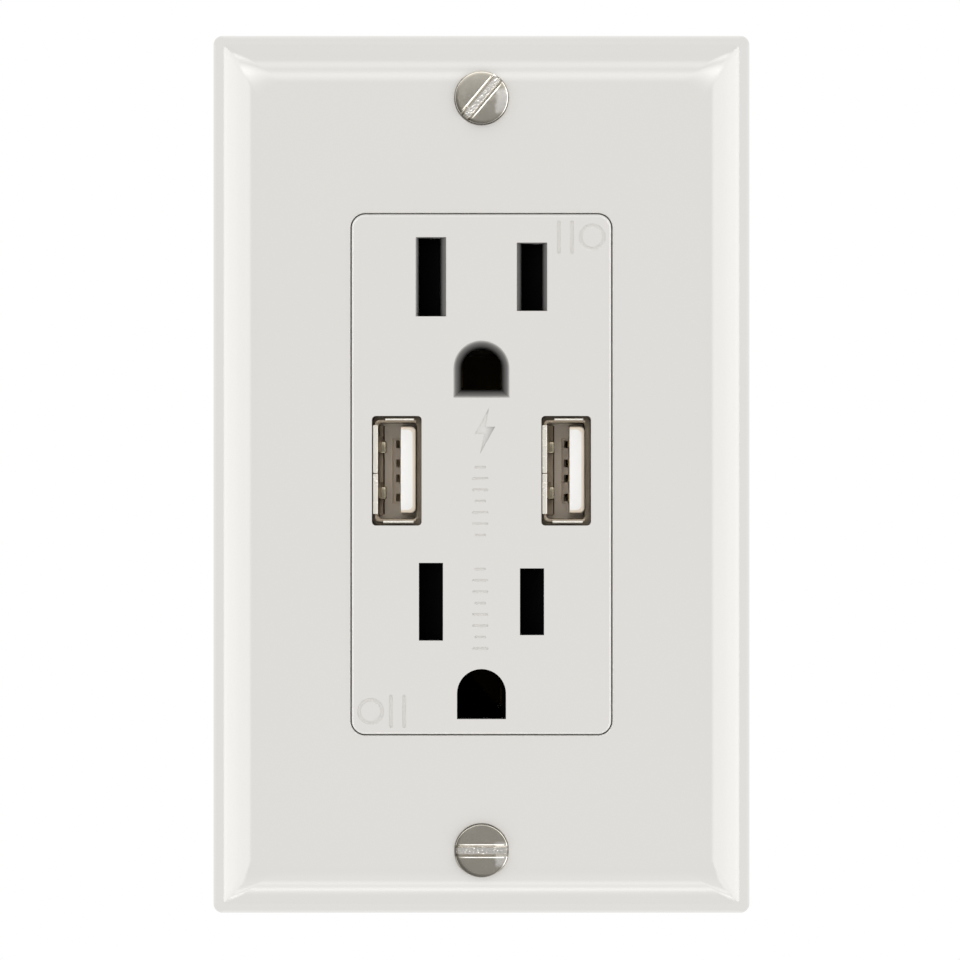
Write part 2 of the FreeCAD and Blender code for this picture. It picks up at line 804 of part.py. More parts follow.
def face_cover():
    body = new_body("face_cover")
    add(body, split, 0, rounded(0, 0, cover_width, cover_height, s.cover_corner))
    add(body, 0, front, rounded(0, 0, insert_width, insert_height, s.insert_corner))
    ease(body, "Fillet", s.insert_edge, lambda edge, middle: level(edge, front))
    cut(body, split, flange_back, notched(inner_width, inner_height, notch_x, notch_y))
    cut(body, flange_back, face_back,
        rounded(0, 0, boss_inner_width, boss_inner_height, s.insert_corner / 2))
    wall_back = face_back - s.port_wall_depth
    for x in PORTS.values():
        outer_width = port_width + s.port_wall * 2
        outer_length = port_length + s.port_wall * 2
        add(body, wall_back, face_back, centred(x, usb_middle, outer_width, outer_length))
    cut(body, wall_back, front, *[
        rounded(x, usb_middle, port_width, port_length, s.port_corner) for x in PORTS.values()])
    for y in OUTLETS.values():
        shutter_guides(body, y)
        ground_hole = dee(y - s.ground_offset, s.ground_radius, s.ground_flat)
        cut(body, face_back, front, *slot_outlines(y), ground_hole)
    lead_ins(body)
    stake_x, stake_y = stake_place()
    places = [(stake_x * hand, stake_y * side) for hand in (-1, 1) for side in (-1, 1)]
    add(body, 0, s.strap_sheet, *[disc(x, y, s.stake) for x, y in places])
    add(body, s.strap_sheet, s.strap_sheet + s.stake_head_height,
        *[disc(x, y, s.stake_head) for x, y in places])
    cut(body, split, split + s.housing_screw_grip, *corner_holes(s.housing_screw + s.thread_gap * 2))
    screw_hole = s.screw_diameter + s.thread_gap * 4
    cut(body, -cover_width / 2, -inner_width / 2,
        disc(ground_tab_y, -s.ground_screw_depth, screw_hole), along="x")
    return stand(body)


def corner_holes(diameter):
    return [
        disc(housing_screw_x * hand, housing_screw_y * side, diameter)
        for hand in (-1, 1) for side in (-1, 1)
    ]


def shutter_guides(body, y):
    """Ribs on the back of the face, below the shutter and at its left end, that guide and stop it."""
    below = y - shutter_height / 2 - s.shutter_gap
    stop = shutter_left() - s.shutter_gap
    back = deck_front + s.shutter_gap
    reach = shutter_right + s.shutter_travel
    add(body, back, face_back,
        box(stop, reach, below - s.guide_wall, below),
        box(stop - s.guide_wall, stop, y - s.hot_slot / 2, y + s.hot_slot / 2))


def mouth(body, outer, inner):
    """A mouth that narrows from its outline in the face to the hole behind it."""
    made = feature(body, "SubtractiveLoft", new_sketch(body, [outer], "XY_Plane", front))
    made.Sections = [new_sketch(body, [inner], "XY_Plane", front - s.lead_depth)]
    made.Ruled = True
    return made


def lead_ins(body):
    """Mouths that guide a plug on the upper outlet: its two slots and its ground hole."""
    wide, tall = s.slot_width + s.slot_lead * 2, s.slot_lead_end * 2
    for x, height in ((-s.blade_offset, s.neutral_slot), (s.blade_offset, s.hot_slot)):
        mouth(body, centred(x, outlet_upper, wide, height + tall),
              centred(x, outlet_upper, s.slot_width, height))
    ground_y = outlet_upper - s.ground_offset
    mouth(body, dee(ground_y, s.ground_radius + s.ground_lead, s.ground_flat + s.ground_lead),
          dee(ground_y, s.ground_radius, s.ground_flat))


# Shutters and their springs

def shutter_left():
    """The shutter's left end, which covers the neutral slot at rest."""
    return -s.blade_offset - s.slot_width / 2 - s.shutter_overlap


def shutter(name, y):
    """One slider for both slots: a ramp under each, and a window that the hot blade enters."""
    body = new_body(name)
    low, high = deck_front + s.shutter_gap, face_back - s.shutter_gap
    toe = low + s.shutter_toe
    left = shutter_left()
    left_top = left + s.shutter_travel
    window_right = s.blade_offset - s.slot_width / 2 - s.shutter_overlap
    window_left = window_right - s.shutter_window
    ramp_top = window_right + s.shutter_travel
    add(body, -shutter_height / 2, shutter_height / 2, polygon(
        (left, low), (shutter_right, low), (shutter_right, high), (ramp_top, high),
        (window_right, toe), (window_left, toe), (window_left, high), (left_top, high), (left, toe),
    ), along="y")
    cut(body, low, toe, centred(
        (window_left + window_right) / 2, 0, s.shutter_window, shutter_height - s.shutter_rail * 2))
    peg_z = (low + high) / 2
    peg_end = shutter_right + s.spring_peg_length
    add(body, shutter_right, peg_end, disc(0, peg_z, s.spring_peg), along="x")
    return stand(body, 0, y)


def shutter_spring(name, y):
    """A coil between the shutter's right end and the wall of the face cover."""
    body = new_body(name)
    gap = boss_inner_width / 2 - shutter_right
    section = disc(s.spring_coil / 2, s.spring_wire / 2, s.spring_wire)
    sketch = new_sketch(body, [section], "XZ_Plane", 0)
    coil = feature(body, "AdditiveHelix", sketch)
    coil.ReferenceAxis = (sketch, ["V_Axis"])
    coil.Mode = "height-turns-angle"
    bind(coil, "Height", gap - s.spring_wire)
    bind(coil, "Turns", s.spring_turns)
    peg_z = (deck_front + face_back) / 2
    turn = FreeCAD.Rotation(FreeCAD.Vector(0, 1, 0), 90)
    return stand(body, shutter_right, y, peg_z, turn)


# Contact carrier and bus bars

def contact_carrier():
    body = new_body("contact_carrier")
    gap = s.carrier_gap * 2
    deck = notched(
        inner_width - gap, inner_height - gap, notch_x - s.notch_gap, notch_y - s.notch_gap)
    wall = s.carrier_wall * 2
    inside = notched(
        inner_width - gap - wall, inner_height - gap - wall,
        notch_x - s.notch_gap - s.carrier_wall, notch_y - s.notch_gap - s.carrier_wall,
    )
    add(body, foot, flange_back, deck)
    cut(body, foot, deck_back, inside)
    add(body, flange_back, deck_front,
        rounded(0, 0, boss_inner_width - gap, boss_inner_height - gap, s.insert_corner / 2))
    blades = [(s.blade_offset * hand, y) for hand in (-1, 1) for y in OUTLETS.values()]
    grounds = [y - s.ground_offset for y in OUTLETS.values()]
    arm_front = -s.arm_depth + s.seat_gap
    strip_front = usb_board_back - s.ground_strip_gap
    tower = s.tower_wall * 2
    well_height = s.neutral_slot + s.well_gap * 2
    add(body, arm_front, deck_back,
        *[centred(x, y, s.well_width + tower, well_height + tower) for x, y in blades])
    hollow = s.ground_leaf_gap + s.leaf_sheet * 2 + s.ground_tower_gap * 2
    for y in grounds:
        add(body, strip_front, deck_back, centred(0, y, hollow + tower, hollow + tower))
    cut(body, arm_front, deck_front, *[centred(x, y, s.well_width, well_height) for x, y in blades])
    cut(body, strip_front, deck_back, *[centred(0, y, hollow, hollow) for y in grounds])
    cut(body, deck_back, deck_front, *[
        rounded(0, y, s.ground_well, s.ground_well, s.ground_well_corner) for y in grounds])
    window = s.carrier_gap * 2
    cut(body, deck_back, deck_front, *[
        centred(x, usb_middle, s.shell_width + window, s.shell_length + window)
        for x in PORTS.values()])
    pegs = peg_places()
    add(body, usb_board_front, deck_back, *[disc(x, y, s.peg) for x, y in pegs])
    add(body, usb_board_back - s.peg_tip / 2, usb_board_front,
        *[disc(x, y, s.peg_tip) for x, y in pegs])
    skirt = inner_width / 2
    for hand in (-1, 1):
        low, high = sorted_pair(skirt * hand, (bus_offset + s.bus_sheet) * hand)
        for side in (-1, 1):
            middle = terminal_y * side
            cut(body, foot, -s.arm_depth + s.arm_sheet, box(
                low, high, middle - s.terminal_window / 2, middle + s.terminal_window / 2))
    cut(body, foot, deck_back, box(
        -skirt, -bus_offset, ground_tab_y - s.ground_tab_width / 2,
        ground_tab_y + s.ground_tab_width / 2))
    return stand(body)


def peg_places():
    peg_x = usb_offset - s.peg_inset
    return [(peg_x * hand, board_middle + s.peg_y * side) for hand in (-1, 1) for side in (-1, 1)]


def sorted_pair(a, b):
    a, b = length(a), length(b)
    return (a, b) if a.value < b.value else (b, a)


def bus(name, hand):
    """Side strip with two sprung blade contacts, two terminal tabs and a pin for the power board."""
    body = new_body(name)
    near, far = bus_offset, bus_offset + s.bus_sheet

    def across(low, high, low_y, high_y):
        low_x, high_x = sorted_pair(low * hand, high * hand)
        return box(low_x, high_x, low_y, high_y)

    bottom, top = outlet_lower - s.bus_below, outlet_upper + s.bus_above
    add(body, deck_back - s.bus_depth, deck_back, across(near, far, bottom, top))
    inner = s.leaf_gap / 2
    outer = inner + s.leaf_sheet
    tip = -s.leaf_front
    flare = tip - s.leaf_sheet * 2
    arm_front, arm_back = -s.arm_depth, -s.arm_depth - s.arm_sheet
    blade = s.blade_offset
    profile = [
        (near, arm_back), (near, arm_front),
        (blade + outer, arm_front), (blade + outer, flare),
        (blade + outer + s.leaf_flare, tip), (blade + inner + s.leaf_flare, tip),
        (blade + inner, flare), (blade + inner, arm_front),
        (blade - inner, arm_front), (blade - inner, flare),
        (blade - inner - s.leaf_flare, tip), (blade - outer - s.leaf_flare, tip),
        (blade - outer, flare), (blade - outer, arm_back),
    ]
    for y in OUTLETS.values():
        low, high = y - s.leaf_height / 2, y + s.leaf_height / 2
        add(body, low, high, polygon(*[(x * hand, z) for x, z in profile]), along="y")
        add(body, arm_back, deck_back, across(near, far, low, high))
    for side in (-1, 1):
        middle = terminal_y * side
        low, high = middle - s.terminal_width / 2, middle + s.terminal_width / 2
        add(body, foot + s.terminal_foot_gap, deck_back, across(near, far, low, high))
    pin = bus_pin_height()
    add(body, board_back - s.pin_reach, deck_back,
        across(near, far, pin - s.bus_pin_width / 2, pin + s.bus_pin_width / 2))
    tapped = s.screw_diameter + s.thread_gap * 2
    low, high = sorted_pair(near * hand, far * hand)
    cut(body, low, high,
        *[disc(terminal_y * side, terminal_z, tapped) for side in (-1, 1)], along="x")
    return stand(body)


def bus_pin_height():
    return outlet_upper - s.bus_pin_drop


def ground_bus():
    """Centre strip with a pair of leaves for each ground pin and an arm out to the ground screw."""
    body = new_body("ground_bus")
    front_z = usb_board_back - s.ground_strip_gap
    back_z = front_z - s.ground_strip_sheet
    grounds = {name: y - s.ground_offset for name, y in OUTLETS.items()}
    low = grounds["lower"] - s.ground_leaf_height / 2
    high = grounds["upper"] + s.ground_leaf_height / 2
    half = s.ground_strip_width / 2
    tab_in = cover_width / 2 - s.ground_bus_inset
    tab_out = tab_in + s.ground_strip_sheet
    arm_low = ground_tab_y - s.ground_arm_width / 2
    arm_high = arm_low + s.ground_arm_width
    add(body, back_z, front_z, polygon(
        (-half, low), (half, low), (half, high), (-half, high),
        (-half, arm_high), (-tab_out, arm_high), (-tab_out, arm_low), (-half, arm_low),
    ))
    inner = s.ground_leaf_gap / 2
    for y in grounds.values():
        leaves = [
            centred((inner + s.leaf_sheet / 2) * hand, y, s.leaf_sheet, s.ground_leaf_height)
            for hand in (-1, 1)
        ]
        add(body, front_z, deck_back - s.seat_gap, *leaves)
    add(body, back_z, deck_back - s.seat_gap, box(-tab_out, -tab_in, arm_low, arm_high))
    tapped = s.screw_diameter + s.thread_gap * 2
    cut(body, -tab_out, -tab_in, disc(ground_tab_y, -s.ground_screw_depth, tapped), along="x")
    return stand(body)


# Screws that hold the works and the wires

def slotted_screw(name, head, head_height, profile):
    """A pan head on the +z side of z = 0, with a slot across it, over a shank of the given profile."""
    body = new_body(name)
    rim = head / 2
    turned(body, (
        *profile, (rim, 0), (rim, head_height * 0.6), (rim * 0.8, head_height), (0, head_height),
    ))
    cut(body, head_height * 0.5, head_height, centred(0, 0, head * 1.1, s.plate_slot))
    return body


def shank(screw_length):
    """The lower half of a screw's profile: a bevelled end, then straight up to the head."""
    radius = s.screw_diameter / 2
    return (
        (0, -screw_length), (radius * 0.7, -screw_length), (radius, -screw_length + radius * 0.6),
    )


def box_screw(name, side):
    """Its neck runs free in the retainer, which the thread can't leave."""
    radius, neck = s.screw_diameter / 2, s.neck_diameter / 2
    step = (radius, -s.neck_length), (neck, -s.neck_length), (neck, 0)
    body = slotted_screw(
        name, s.box_screw_head, s.box_screw_head_height, (*shank(s.box_screw_length), *step))
    return stand(body, 0, box_screw_y * side, s.strap_sheet)


def screw_retainer(name, side):
    """A fibre square on the back of the strap that keeps the box screw from falling out."""
    body = new_body(name)
    add(body, -s.retainer_sheet, 0, centred(0, 0, s.retainer_size, s.retainer_size))
    cut(body, -s.retainer_sheet, 0, disc(0, 0, s.neck_diameter + s.thread_gap * 2))
    return stand(body, 0, box_screw_y * side)


def wire_screw(name):
    """A screw that clamps a wire: the same for the four terminals and for the ground."""
    profile = (*shank(s.terminal_screw_length), (s.screw_diameter / 2, 0))
    return slotted_screw(name, s.terminal_head, s.terminal_head_height, profile)


def terminal_screw(name, hand, side):
    body = wire_screw(name)
    turn = FreeCAD.Rotation(FreeCAD.Vector(0, 1, 0), 90 * hand)
    seat = (bus_offset + s.bus_sheet + s.clamp_sheet) * hand
    return stand(body, seat, terminal_y * side, terminal_z, turn)


def clamp_plate(name, hand, side):
    """The square plate under a terminal screw's head, with two ribs that bite the wire."""
    body = new_body(name)
    add(body, -s.clamp_sheet, 0, centred(0, 0, s.clamp_size, s.clamp_size))
    cut(body, -s.clamp_sheet, 0, disc(0, 0, s.screw_diameter + s.thread_gap * 4))
    groove = s.clamp_sheet * 0.4
    grooves = [
        centred(0, s.clamp_size * 0.36 * way, s.clamp_size, s.clamp_sheet) for way in (-1, 1)
    ]
    cut(body, -groove, 0, *grooves)
    turn = FreeCAD.Rotation(FreeCAD.Vector(0, 1, 0), 90 * hand)
    seat = (bus_offset + s.bus_sheet + s.clamp_sheet) * hand
    return stand(body, seat, terminal_y * side, terminal_z, turn)


def ground_screw():
    body = wire_screw("ground_screw")
    turn = FreeCAD.Rotation(FreeCAD.Vector(0, 1, 0), -90)
    return stand(body, -ground_tab_x, ground_tab_y, -s.ground_screw_depth, turn)


def housing_screws():
    """Four screws from the shoulder of the rear housing up into the corner blocks of the cover."""
    body = new_body("housing_screws")
    tip = split + s.housing_screw_grip - s.thread_gap * 4
    head_back = shoulder_back - s.housing_screw_head_height
    add(body, head_back, shoulder_back, *corner_holes(s.housing_screw_head))
    ease(body, "Chamfer", s.edge_round, lambda edge, middle: level(edge, head_back))
    add(body, shoulder_back, tip, *corner_holes(s.housing_screw))
    slot_length = s.housing_screw_head * 1.1
    slots = [
        centred(housing_screw_x * hand, housing_screw_y * side, slot_length, s.edge_round * 2)
        for hand in (-1, 1) for side in (-1, 1)
    ]
    cut(body, head_back, head_back + s.housing_screw_head_height / 2, *slots)
    return stand(body)


# USB ports and their board

def usb_shell(name, x):
    """A folded steel shell with a lip flared out on each side, and two sprung tabs in its left wall."""
    body = new_body(name)
    half_width, half_length = s.shell_width / 2, s.shell_length / 2
    wall = s.shell_sheet
    lip_back = shell_front - s.lip_depth
    add(body, usb_board_front, lip_back, rounded(0, 0, s.shell_width, s.shell_length, s.shell_corner))
    cut(body, usb_board_front, lip_back, rounded(
        0, 0, s.shell_width - wall * 2, s.shell_length - wall * 2, s.shell_corner - wall))
    sides = ((half_width, half_length, "y", s.lip_flare), (half_length, half_width, "x", s.lip_end_flare))
    for hand in (-1, 1):
        for half, other, along, flare in sides:
            reach = other - s.shell_corner * 1.2
            add(body, -reach, reach, polygon(*[
                (across * hand, z) for across, z in (
                    (half - wall, lip_back), (half, lip_back),
                    (half + flare, shell_front), (half + flare - wall, shell_front),
                )
            ]), along=along)
    inner = half_width - wall
    cut(body, usb_board_front, shell_front,
        box(-half_width - s.lip_flare, -inner, -s.shell_seam / 2, s.shell_seam / 2))
    for y in (s.contact_outer, -s.contact_outer + s.contact_inner):
        tab = s.contact_inner
        add(body, y - tab, y + tab, polygon(
            (-inner, face_back), (-inner + wall * 2, face_back - tab * 1.5),
            (-inner + wall * 2, face_back - tab * 3), (-inner, face_back - tab * 4),
        ), along="y")
    return stand(body, x, usb_middle)


def tongue_faces():
    """The left and right faces of the tongue, from the middle of the shell."""
    left = s.tongue_offset - s.tongue_thickness / 2
    return left, left + s.tongue_thickness


def contact_rows():
    return [s.contact_outer * -1, s.contact_inner * -1, s.contact_inner, s.contact_outer]


def usb_tongue(name, x):
    """The moulded tongue on its base, with a groove for each contact and a well where they bend."""
    body = new_body(name)
    left, right = tongue_faces()
    tip = shell_front - s.tongue_recess
    base_front = usb_board_front + s.tongue_base
    room = s.shell_sheet * 2 + s.thread_gap * 2
    add(body, usb_board_front, base_front,
        rounded(0, 0, s.shell_width - room, s.shell_length - room, s.shell_corner - s.shell_sheet))
    add(body, base_front, tip, box(left, right, -tongue_length / 2, tongue_length / 2))
    ease(body, "Chamfer", s.tongue_corner,
         lambda edge, middle: abs(middle.x - right.value) < 1e-4 and middle.z > base_front.value + 1e-3
         and (level(edge, tip) or abs(abs(middle.y) - tongue_length.value / 2) < 1e-4))
    groove_low = left - s.contact_sheet
    grooves = [box(groove_low, left + s.contact_groove, y - s.contact_width / 2, y + s.contact_width / 2)
               for y in contact_rows()]
    cut(body, usb_board_front, tip - s.contact_recess, *grooves)
    well = box(left - s.root_well_width, left, -s.root_well_length / 2, s.root_well_length / 2)
    cut(body, base_front - s.root_well_depth, base_front, well)
    notches = [box(left - s.root_notch, left, y - s.contact_width / 2, y + s.contact_width / 2)
               for y in contact_rows()]
    cut(body, base_front - s.root_notch_depth, base_front, *notches)
    return stand(body, x, usb_middle)


def usb_contacts(name, x):
    """Four strips in the tongue's grooves that end as pins through the board."""
    body = new_body(name)
    left = tongue_faces()[0] + s.contact_groove
    tip = shell_front - s.tongue_recess - s.contact_recess
    width = s.contact_width - s.thread_gap * 2
    strips = [box(left - s.contact_sheet, left, y - width / 2, y + width / 2) for y in contact_rows()]
    add(body, usb_board_front, tip, *strips)
    pins = [box(left - s.contact_sheet, left, y - width / 4, y + width / 4) for y in contact_rows()]
    add(body, usb_board_back - s.pin_reach, usb_board_front, *pins)
    return stand(body, x, usb_middle)


def header_rows():
    return [board_middle + s.header_pitch * (number - 1.5) for number in range(4)]


def usb_board():
    body = new_body("usb_board")
    half = usb_offset + s.usb_board_side
    bottom, top = usb_middle - s.usb_board_below, usb_middle + s.usb_board_above
    add(body, usb_board_back, usb_board_front, box(-half, half, bottom, top))
    peg_holes = [disc(x, y, s.peg_tip + s.thread_gap * 4) for x, y in peg_places()]
    cut(body, usb_board_back, usb_board_front, *peg_holes)
    left = tongue_faces()[0] + s.contact_groove - s.contact_sheet / 2
    hole = s.contact_sheet + s.thread_gap * 4
    holes = [
        centred(x + left, usb_middle + y, hole, s.contact_width * 0.7)
        for x in PORTS.values() for y in contact_rows()
    ]
    pin = s.header_pin + s.thread_gap * 4
    holes += [centred(header_x, y, pin, pin) for y in header_rows()]
    cut(body, usb_board_back, usb_board_front, *holes)
    return stand(body)


def board_header():
    """A pin header that joins the two boards through the insulating sheet."""
    body = new_body("board_header")
    add(body, sheet_back, usb_board_back,
        centred(header_x, board_middle, s.header_width, s.header_height))
    pins = [centred(header_x, y, s.header_pin, s.header_pin) for y in header_rows()]
    add(body, usb_board_back, usb_board_front + s.pin_reach, *pins)
    add(body, board_back - s.pin_reach, sheet_back, *pins)
    return stand(body)


def board_outline(gap):
    return notched(
        inner_width - s.board_side_gap * 2, inner_height - s.board_end_gap * 2,
        notch_x - gap, notch_y - gap)


def bus_pin_holes():
    room = s.thread_gap * 4
    middle = bus_offset + s.bus_sheet / 2
    return [
        centred(middle * hand, bus_pin_height(), s.bus_sheet + room, s.bus_pin_width + room)
        for hand in (-1, 1)
    ]


def insulating_sheet():
    body = new_body("insulating_sheet")
    add(body, sheet_back, foot, board_outline(s.notch_gap))
    room = s.thread_gap * 8
    cut(body, sheet_back, foot, *bus_pin_holes(),
        centred(header_x, board_middle, s.header_width + room, s.header_height + room))
    return stand(body)


def power_board():
    body = new_body("power_board")
    add(body, board_back, sheet_back, board_outline(s.notch_gap))
    pin = s.header_pin + s.thread_gap * 4
    cut(body, board_back, sheet_back, *bus_pin_holes(),
        *[centred(header_x, y, pin, pin) for y in header_rows()])
    return stand(body)


# Parts on the back of the power board

def transformer_core():
    """Two E cores closed round the winding: a block with a window on each side of its middle leg."""
    body = new_body("transformer_core")
    core_depth = s.back_room - s.core_gap
    low = board_back - core_depth
    add(body, low, board_back - s.coil_flange, centred(0, 0, s.core_width, s.core_height / 2))
    window = (s.core_width - s.core_leg * 2) / 2
    middle_z = (low + board_back - s.coil_flange) / 2
    half_depth = (core_depth - s.coil_flange) / 2 - s.core_leg / 2
    windows = [
        box(*sorted_pair(s.core_leg / 2 * hand, (s.core_leg / 2 + window) * hand),
            middle_z - half_depth, middle_z + half_depth)
        for hand in (-1, 1)
    ]
    cut(body, -s.core_height / 4, s.core_height / 4, *windows, along="y")
    return stand(body, room_x - s.core_side, s.core_y)


def transformer_winding():
    """Bobbin with the winding on it, round the core's middle leg."""
    body = new_body("transformer_winding")
    low = board_back - s.back_room + s.core_gap + s.core_leg / 2
    high = board_back - s.coil_flange - s.core_leg / 2
    width = (s.core_width - s.core_leg * 2) / 2
    outer = s.core_leg + width * 2
    room = s.thread_gap * 2
    add(body, low + room, high - room,
        rounded(0, 0, outer - room * 2, s.core_height, s.edge_round * 2))
    cut(body, low, high, centred(0, 0, s.core_leg + room, s.core_height / 2 + room))
    feet = [
        box(-outer / 2 + room, outer / 2 - room,
            *sorted_pair((s.core_height / 4 + room) * side, s.core_height / 2 * side))
        for side in (1, -1)
    ]
    add(body, high - room, board_back, *feet)
    return stand(body, room_x - s.core_side, s.core_y)


def can(name, places, diameter, depth):
    """Upright capacitors: a can with a crimp near the board and a rounded top."""
    body = new_body(name)
    crimp = diameter * 0.14
    for x, y in places:
        add(body, board_back - depth, board_back, disc(x, y, diameter))
    ease(body, "Fillet", s.edge_round, lambda edge, middle: level(edge, board_back - depth))
    rings = [draw for x, y in places for draw in (disc(x, y, diameter), disc(x, y, diameter * 0.93))]
    cut(body, board_back - crimp * 1.6, board_back - crimp, *rings)
    return stand(body)


def inductor():
    """A drum core with its winding between two flanges."""
    body = new_body("inductor")
    rim, waist = s.coil_diameter / 2, s.coil_waist / 2
    end = s.coil_depth
    turned(body, (
        (0, -end), (rim, -end), (rim, -end + s.coil_flange), (waist, -end + s.coil_flange),
        (waist, -s.coil_flange), (rim, -s.coil_flange), (rim, 0), (0, 0),
    ))
    return stand(body, s.output_side + s.coil_step - room_x, room_y - s.coil_end, board_back)


def fuse():
    """A glass body between two metal caps, lying on the board."""
    body = new_body("fuse")
    half = s.fuse_length / 2
    z = board_back - s.fuse_diameter / 2
    add(body, -half, half, disc(0, z, s.fuse_diameter * 0.88), along="x")
    add(body, -half, -half + s.fuse_cap, disc(0, z, s.fuse_diameter), along="x")
    add(body, half - s.fuse_cap, half, disc(0, z, s.fuse_diameter), along="x")
    return stand(body, 0, room_y - s.fuse_end)


def leaded_block(name, x, y, width, height, depth, pitch):
    """A moulded block with two gull-wing leads on each long side."""
    body = new_body(name)
    lift = s.lead_sheet * 0.6
    add(body, board_back - depth, board_back - lift, centred(0, 0, width, height))
    ease(body, "Chamfer", s.lead_sheet, lambda edge, middle: level(edge, board_back - depth))
    half = width / 2
    bend = half + s.lead_reach / 2
    end = half + s.lead_reach
    knee = board_back - depth / 2
    for hand in (-1, 1):
        lead = [
            (half - s.lead_sheet, knee), (bend, knee), (bend, board_back - s.lead_sheet),
            (end, board_back - s.lead_sheet), (end, board_back), (bend - s.lead_sheet, board_back),
            (bend - s.lead_sheet, knee + s.lead_sheet), (half - s.lead_sheet, knee + s.lead_sheet),
        ]
        for number in (-0.5, 0.5):
            middle = pitch * number
            add(body, middle - s.lead_width / 2, middle + s.lead_width / 2,
                polygon(*[(px * hand, pz) for px, pz in lead]), along="y")
    return stand(body, x, y)


def safety_capacitor():
    body = new_body("safety_capacitor")
    add(body, board_back - s.safety_depth, board_back, centred(0, 0, s.safety_width, s.safety_height))
    ease(body, "Fillet", s.edge_round, lambda edge, middle: middle.z < board_back.value - 1e-3)
    return stand(body, room_x - s.safety_side, room_y - s.safety_end)


# Rear housing

def rear_housing():
    """The tub behind the split line: a wide part for the contacts, then a narrower back.

    The power board lies on the shoulder between the two. Each terminal has a window in the side,
    with a barrier above and below it.
    """
    body = new_body("rear_housing")
    add(body, shoulder_back, split, rounded(0, 0, cover_width, cover_height, s.cover_corner))
    add(body, body_back, shoulder_back, rounded(0, 0, back_width, back_height, s.back_corner))
    ease(body, "Chamfer", s.back_chamfer, lambda edge, middle: level(edge, body_back))
    cut(body, board_back, split, notched(inner_width, inner_height, notch_x, notch_y))
    wall = s.housing_wall * 2
    cut(body, body_back + s.housing_wall, board_back,
        rounded(0, 0, back_width - wall, back_height - wall, s.back_corner - s.housing_wall))
    half_window = s.terminal_window / 2
    for hand in (-1, 1):
        low, high = sorted_pair(inner_width / 2 * hand, cover_width / 2 * hand)
        middles = [terminal_y * side for side in (-1, 1)]
        cut(body, foot + s.terminal_sill, split,
            *[box(low, high, middle - half_window, middle + half_window) for middle in middles])
        low, high = sorted_pair(
            (cover_width / 2 - s.barrier) * hand, (cover_width / 2 + s.barrier_reach) * hand)
        fin_step = half_window + s.barrier / 2
        fins = [
            box(low, high, edge - s.barrier / 2, edge + s.barrier / 2)
            for middle in middles for edge in (middle - fin_step, middle + fin_step)
        ]
        add(body, shoulder_back, split, *fins)
    cut(body, shoulder_back, split, *corner_holes(s.housing_screw + s.thread_gap * 4))
    return stand(body)


def make_all():
    wall_plate()
    plate_screw("plate_screw_upper", 1, 50)
    plate_screw("plate_screw_lower", -1, 0)
    mounting_strap()
    face_cover()
    for name, y in OUTLETS.items():
        shutter(f"shutter_{name}", y)
        shutter_spring(f"shutter_spring_{name}", y)
    contact_carrier()
    bus("hot_bus", 1)
    bus("neutral_bus", -1)
    ground_bus()
    for end, side in (("upper", 1), ("lower", -1)):
        box_screw(f"box_screw_{end}", side)
        screw_retainer(f"screw_retainer_{end}", side)
        for pole, hand in (("hot", 1), ("neutral", -1)):
            terminal_screw(f"{pole}_terminal_screw_{end}", hand, side)
            clamp_plate(f"{pole}_clamp_plate_{end}", hand, side)
    ground_screw()
    housing_screws()
    for name, x in PORTS.items():
        usb_shell(f"usb_shell_{name}", x)
        usb_tongue(f"usb_tongue_{name}", x)
        usb_contacts(f"usb_contacts_{name}", x)
    usb_board()
    board_header()
    insulating_sheet()
    power_board()
    transformer_core()
    transformer_winding()
    bulk_y = s.bulk_end - room_y
    can("bulk_capacitor", [(s.bulk_side - room_x, bulk_y)], s.bulk_diameter, s.back_room - s.bulk_gap)
    output_x, output_y = s.output_side - room_x, room_y - s.output_end
    can("output_capacitors", [(output_x, output_y), (output_x, output_y + s.output_pitch)],
        s.output_diameter, s.output_depth)
    inductor()
    fuse()
    leaded_block("bridge_rectifier", room_x - s.bridge_side, s.bridge_end - room_y, s.bridge_width,
                 s.bridge_height, s.bridge_depth, s.bridge_height * 0.7)
    core_left = room_x - s.core_side - s.core_width / 2
    chip_x = (core_left - room_x) / 2 + s.chip_shift
    leaded_block("controller_chip", chip_x, bulk_y + s.chip_rise, s.chip_width, s.chip_height,
                 s.chip_depth, s.chip_height / 2)
    safety_capacitor()
    rear_housing()


def export_all():
    """Check every object, then write each body as one STEP file named after its node."""
    os.makedirs("parts", exist_ok=True)
    doc.recompute()
    failed = [thing.Name for thing in doc.Objects if {"Invalid", "Error"} & set(thing.State)]
    if failed:
        raise RuntimeError(f"these features failed: {failed}")
    bodies = [thing for thing in doc.Objects if thing.TypeId == "PartDesign::Body"]
    for body in bodies:
        shape = body.Shape
        if shape.isNull() or not shape.isValid() or not shape.Solids or shape.Volume <= 0:
            raise RuntimeError(f"{body.Label} has no sound solid")
        shape.exportStep(f"parts/{body.Label}.step")
    print(len(bodies), "nodes,", sum(len(body.Shape.Solids) for body in bodies), "solids")


make_all()
export_all()
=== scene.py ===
import json
import math

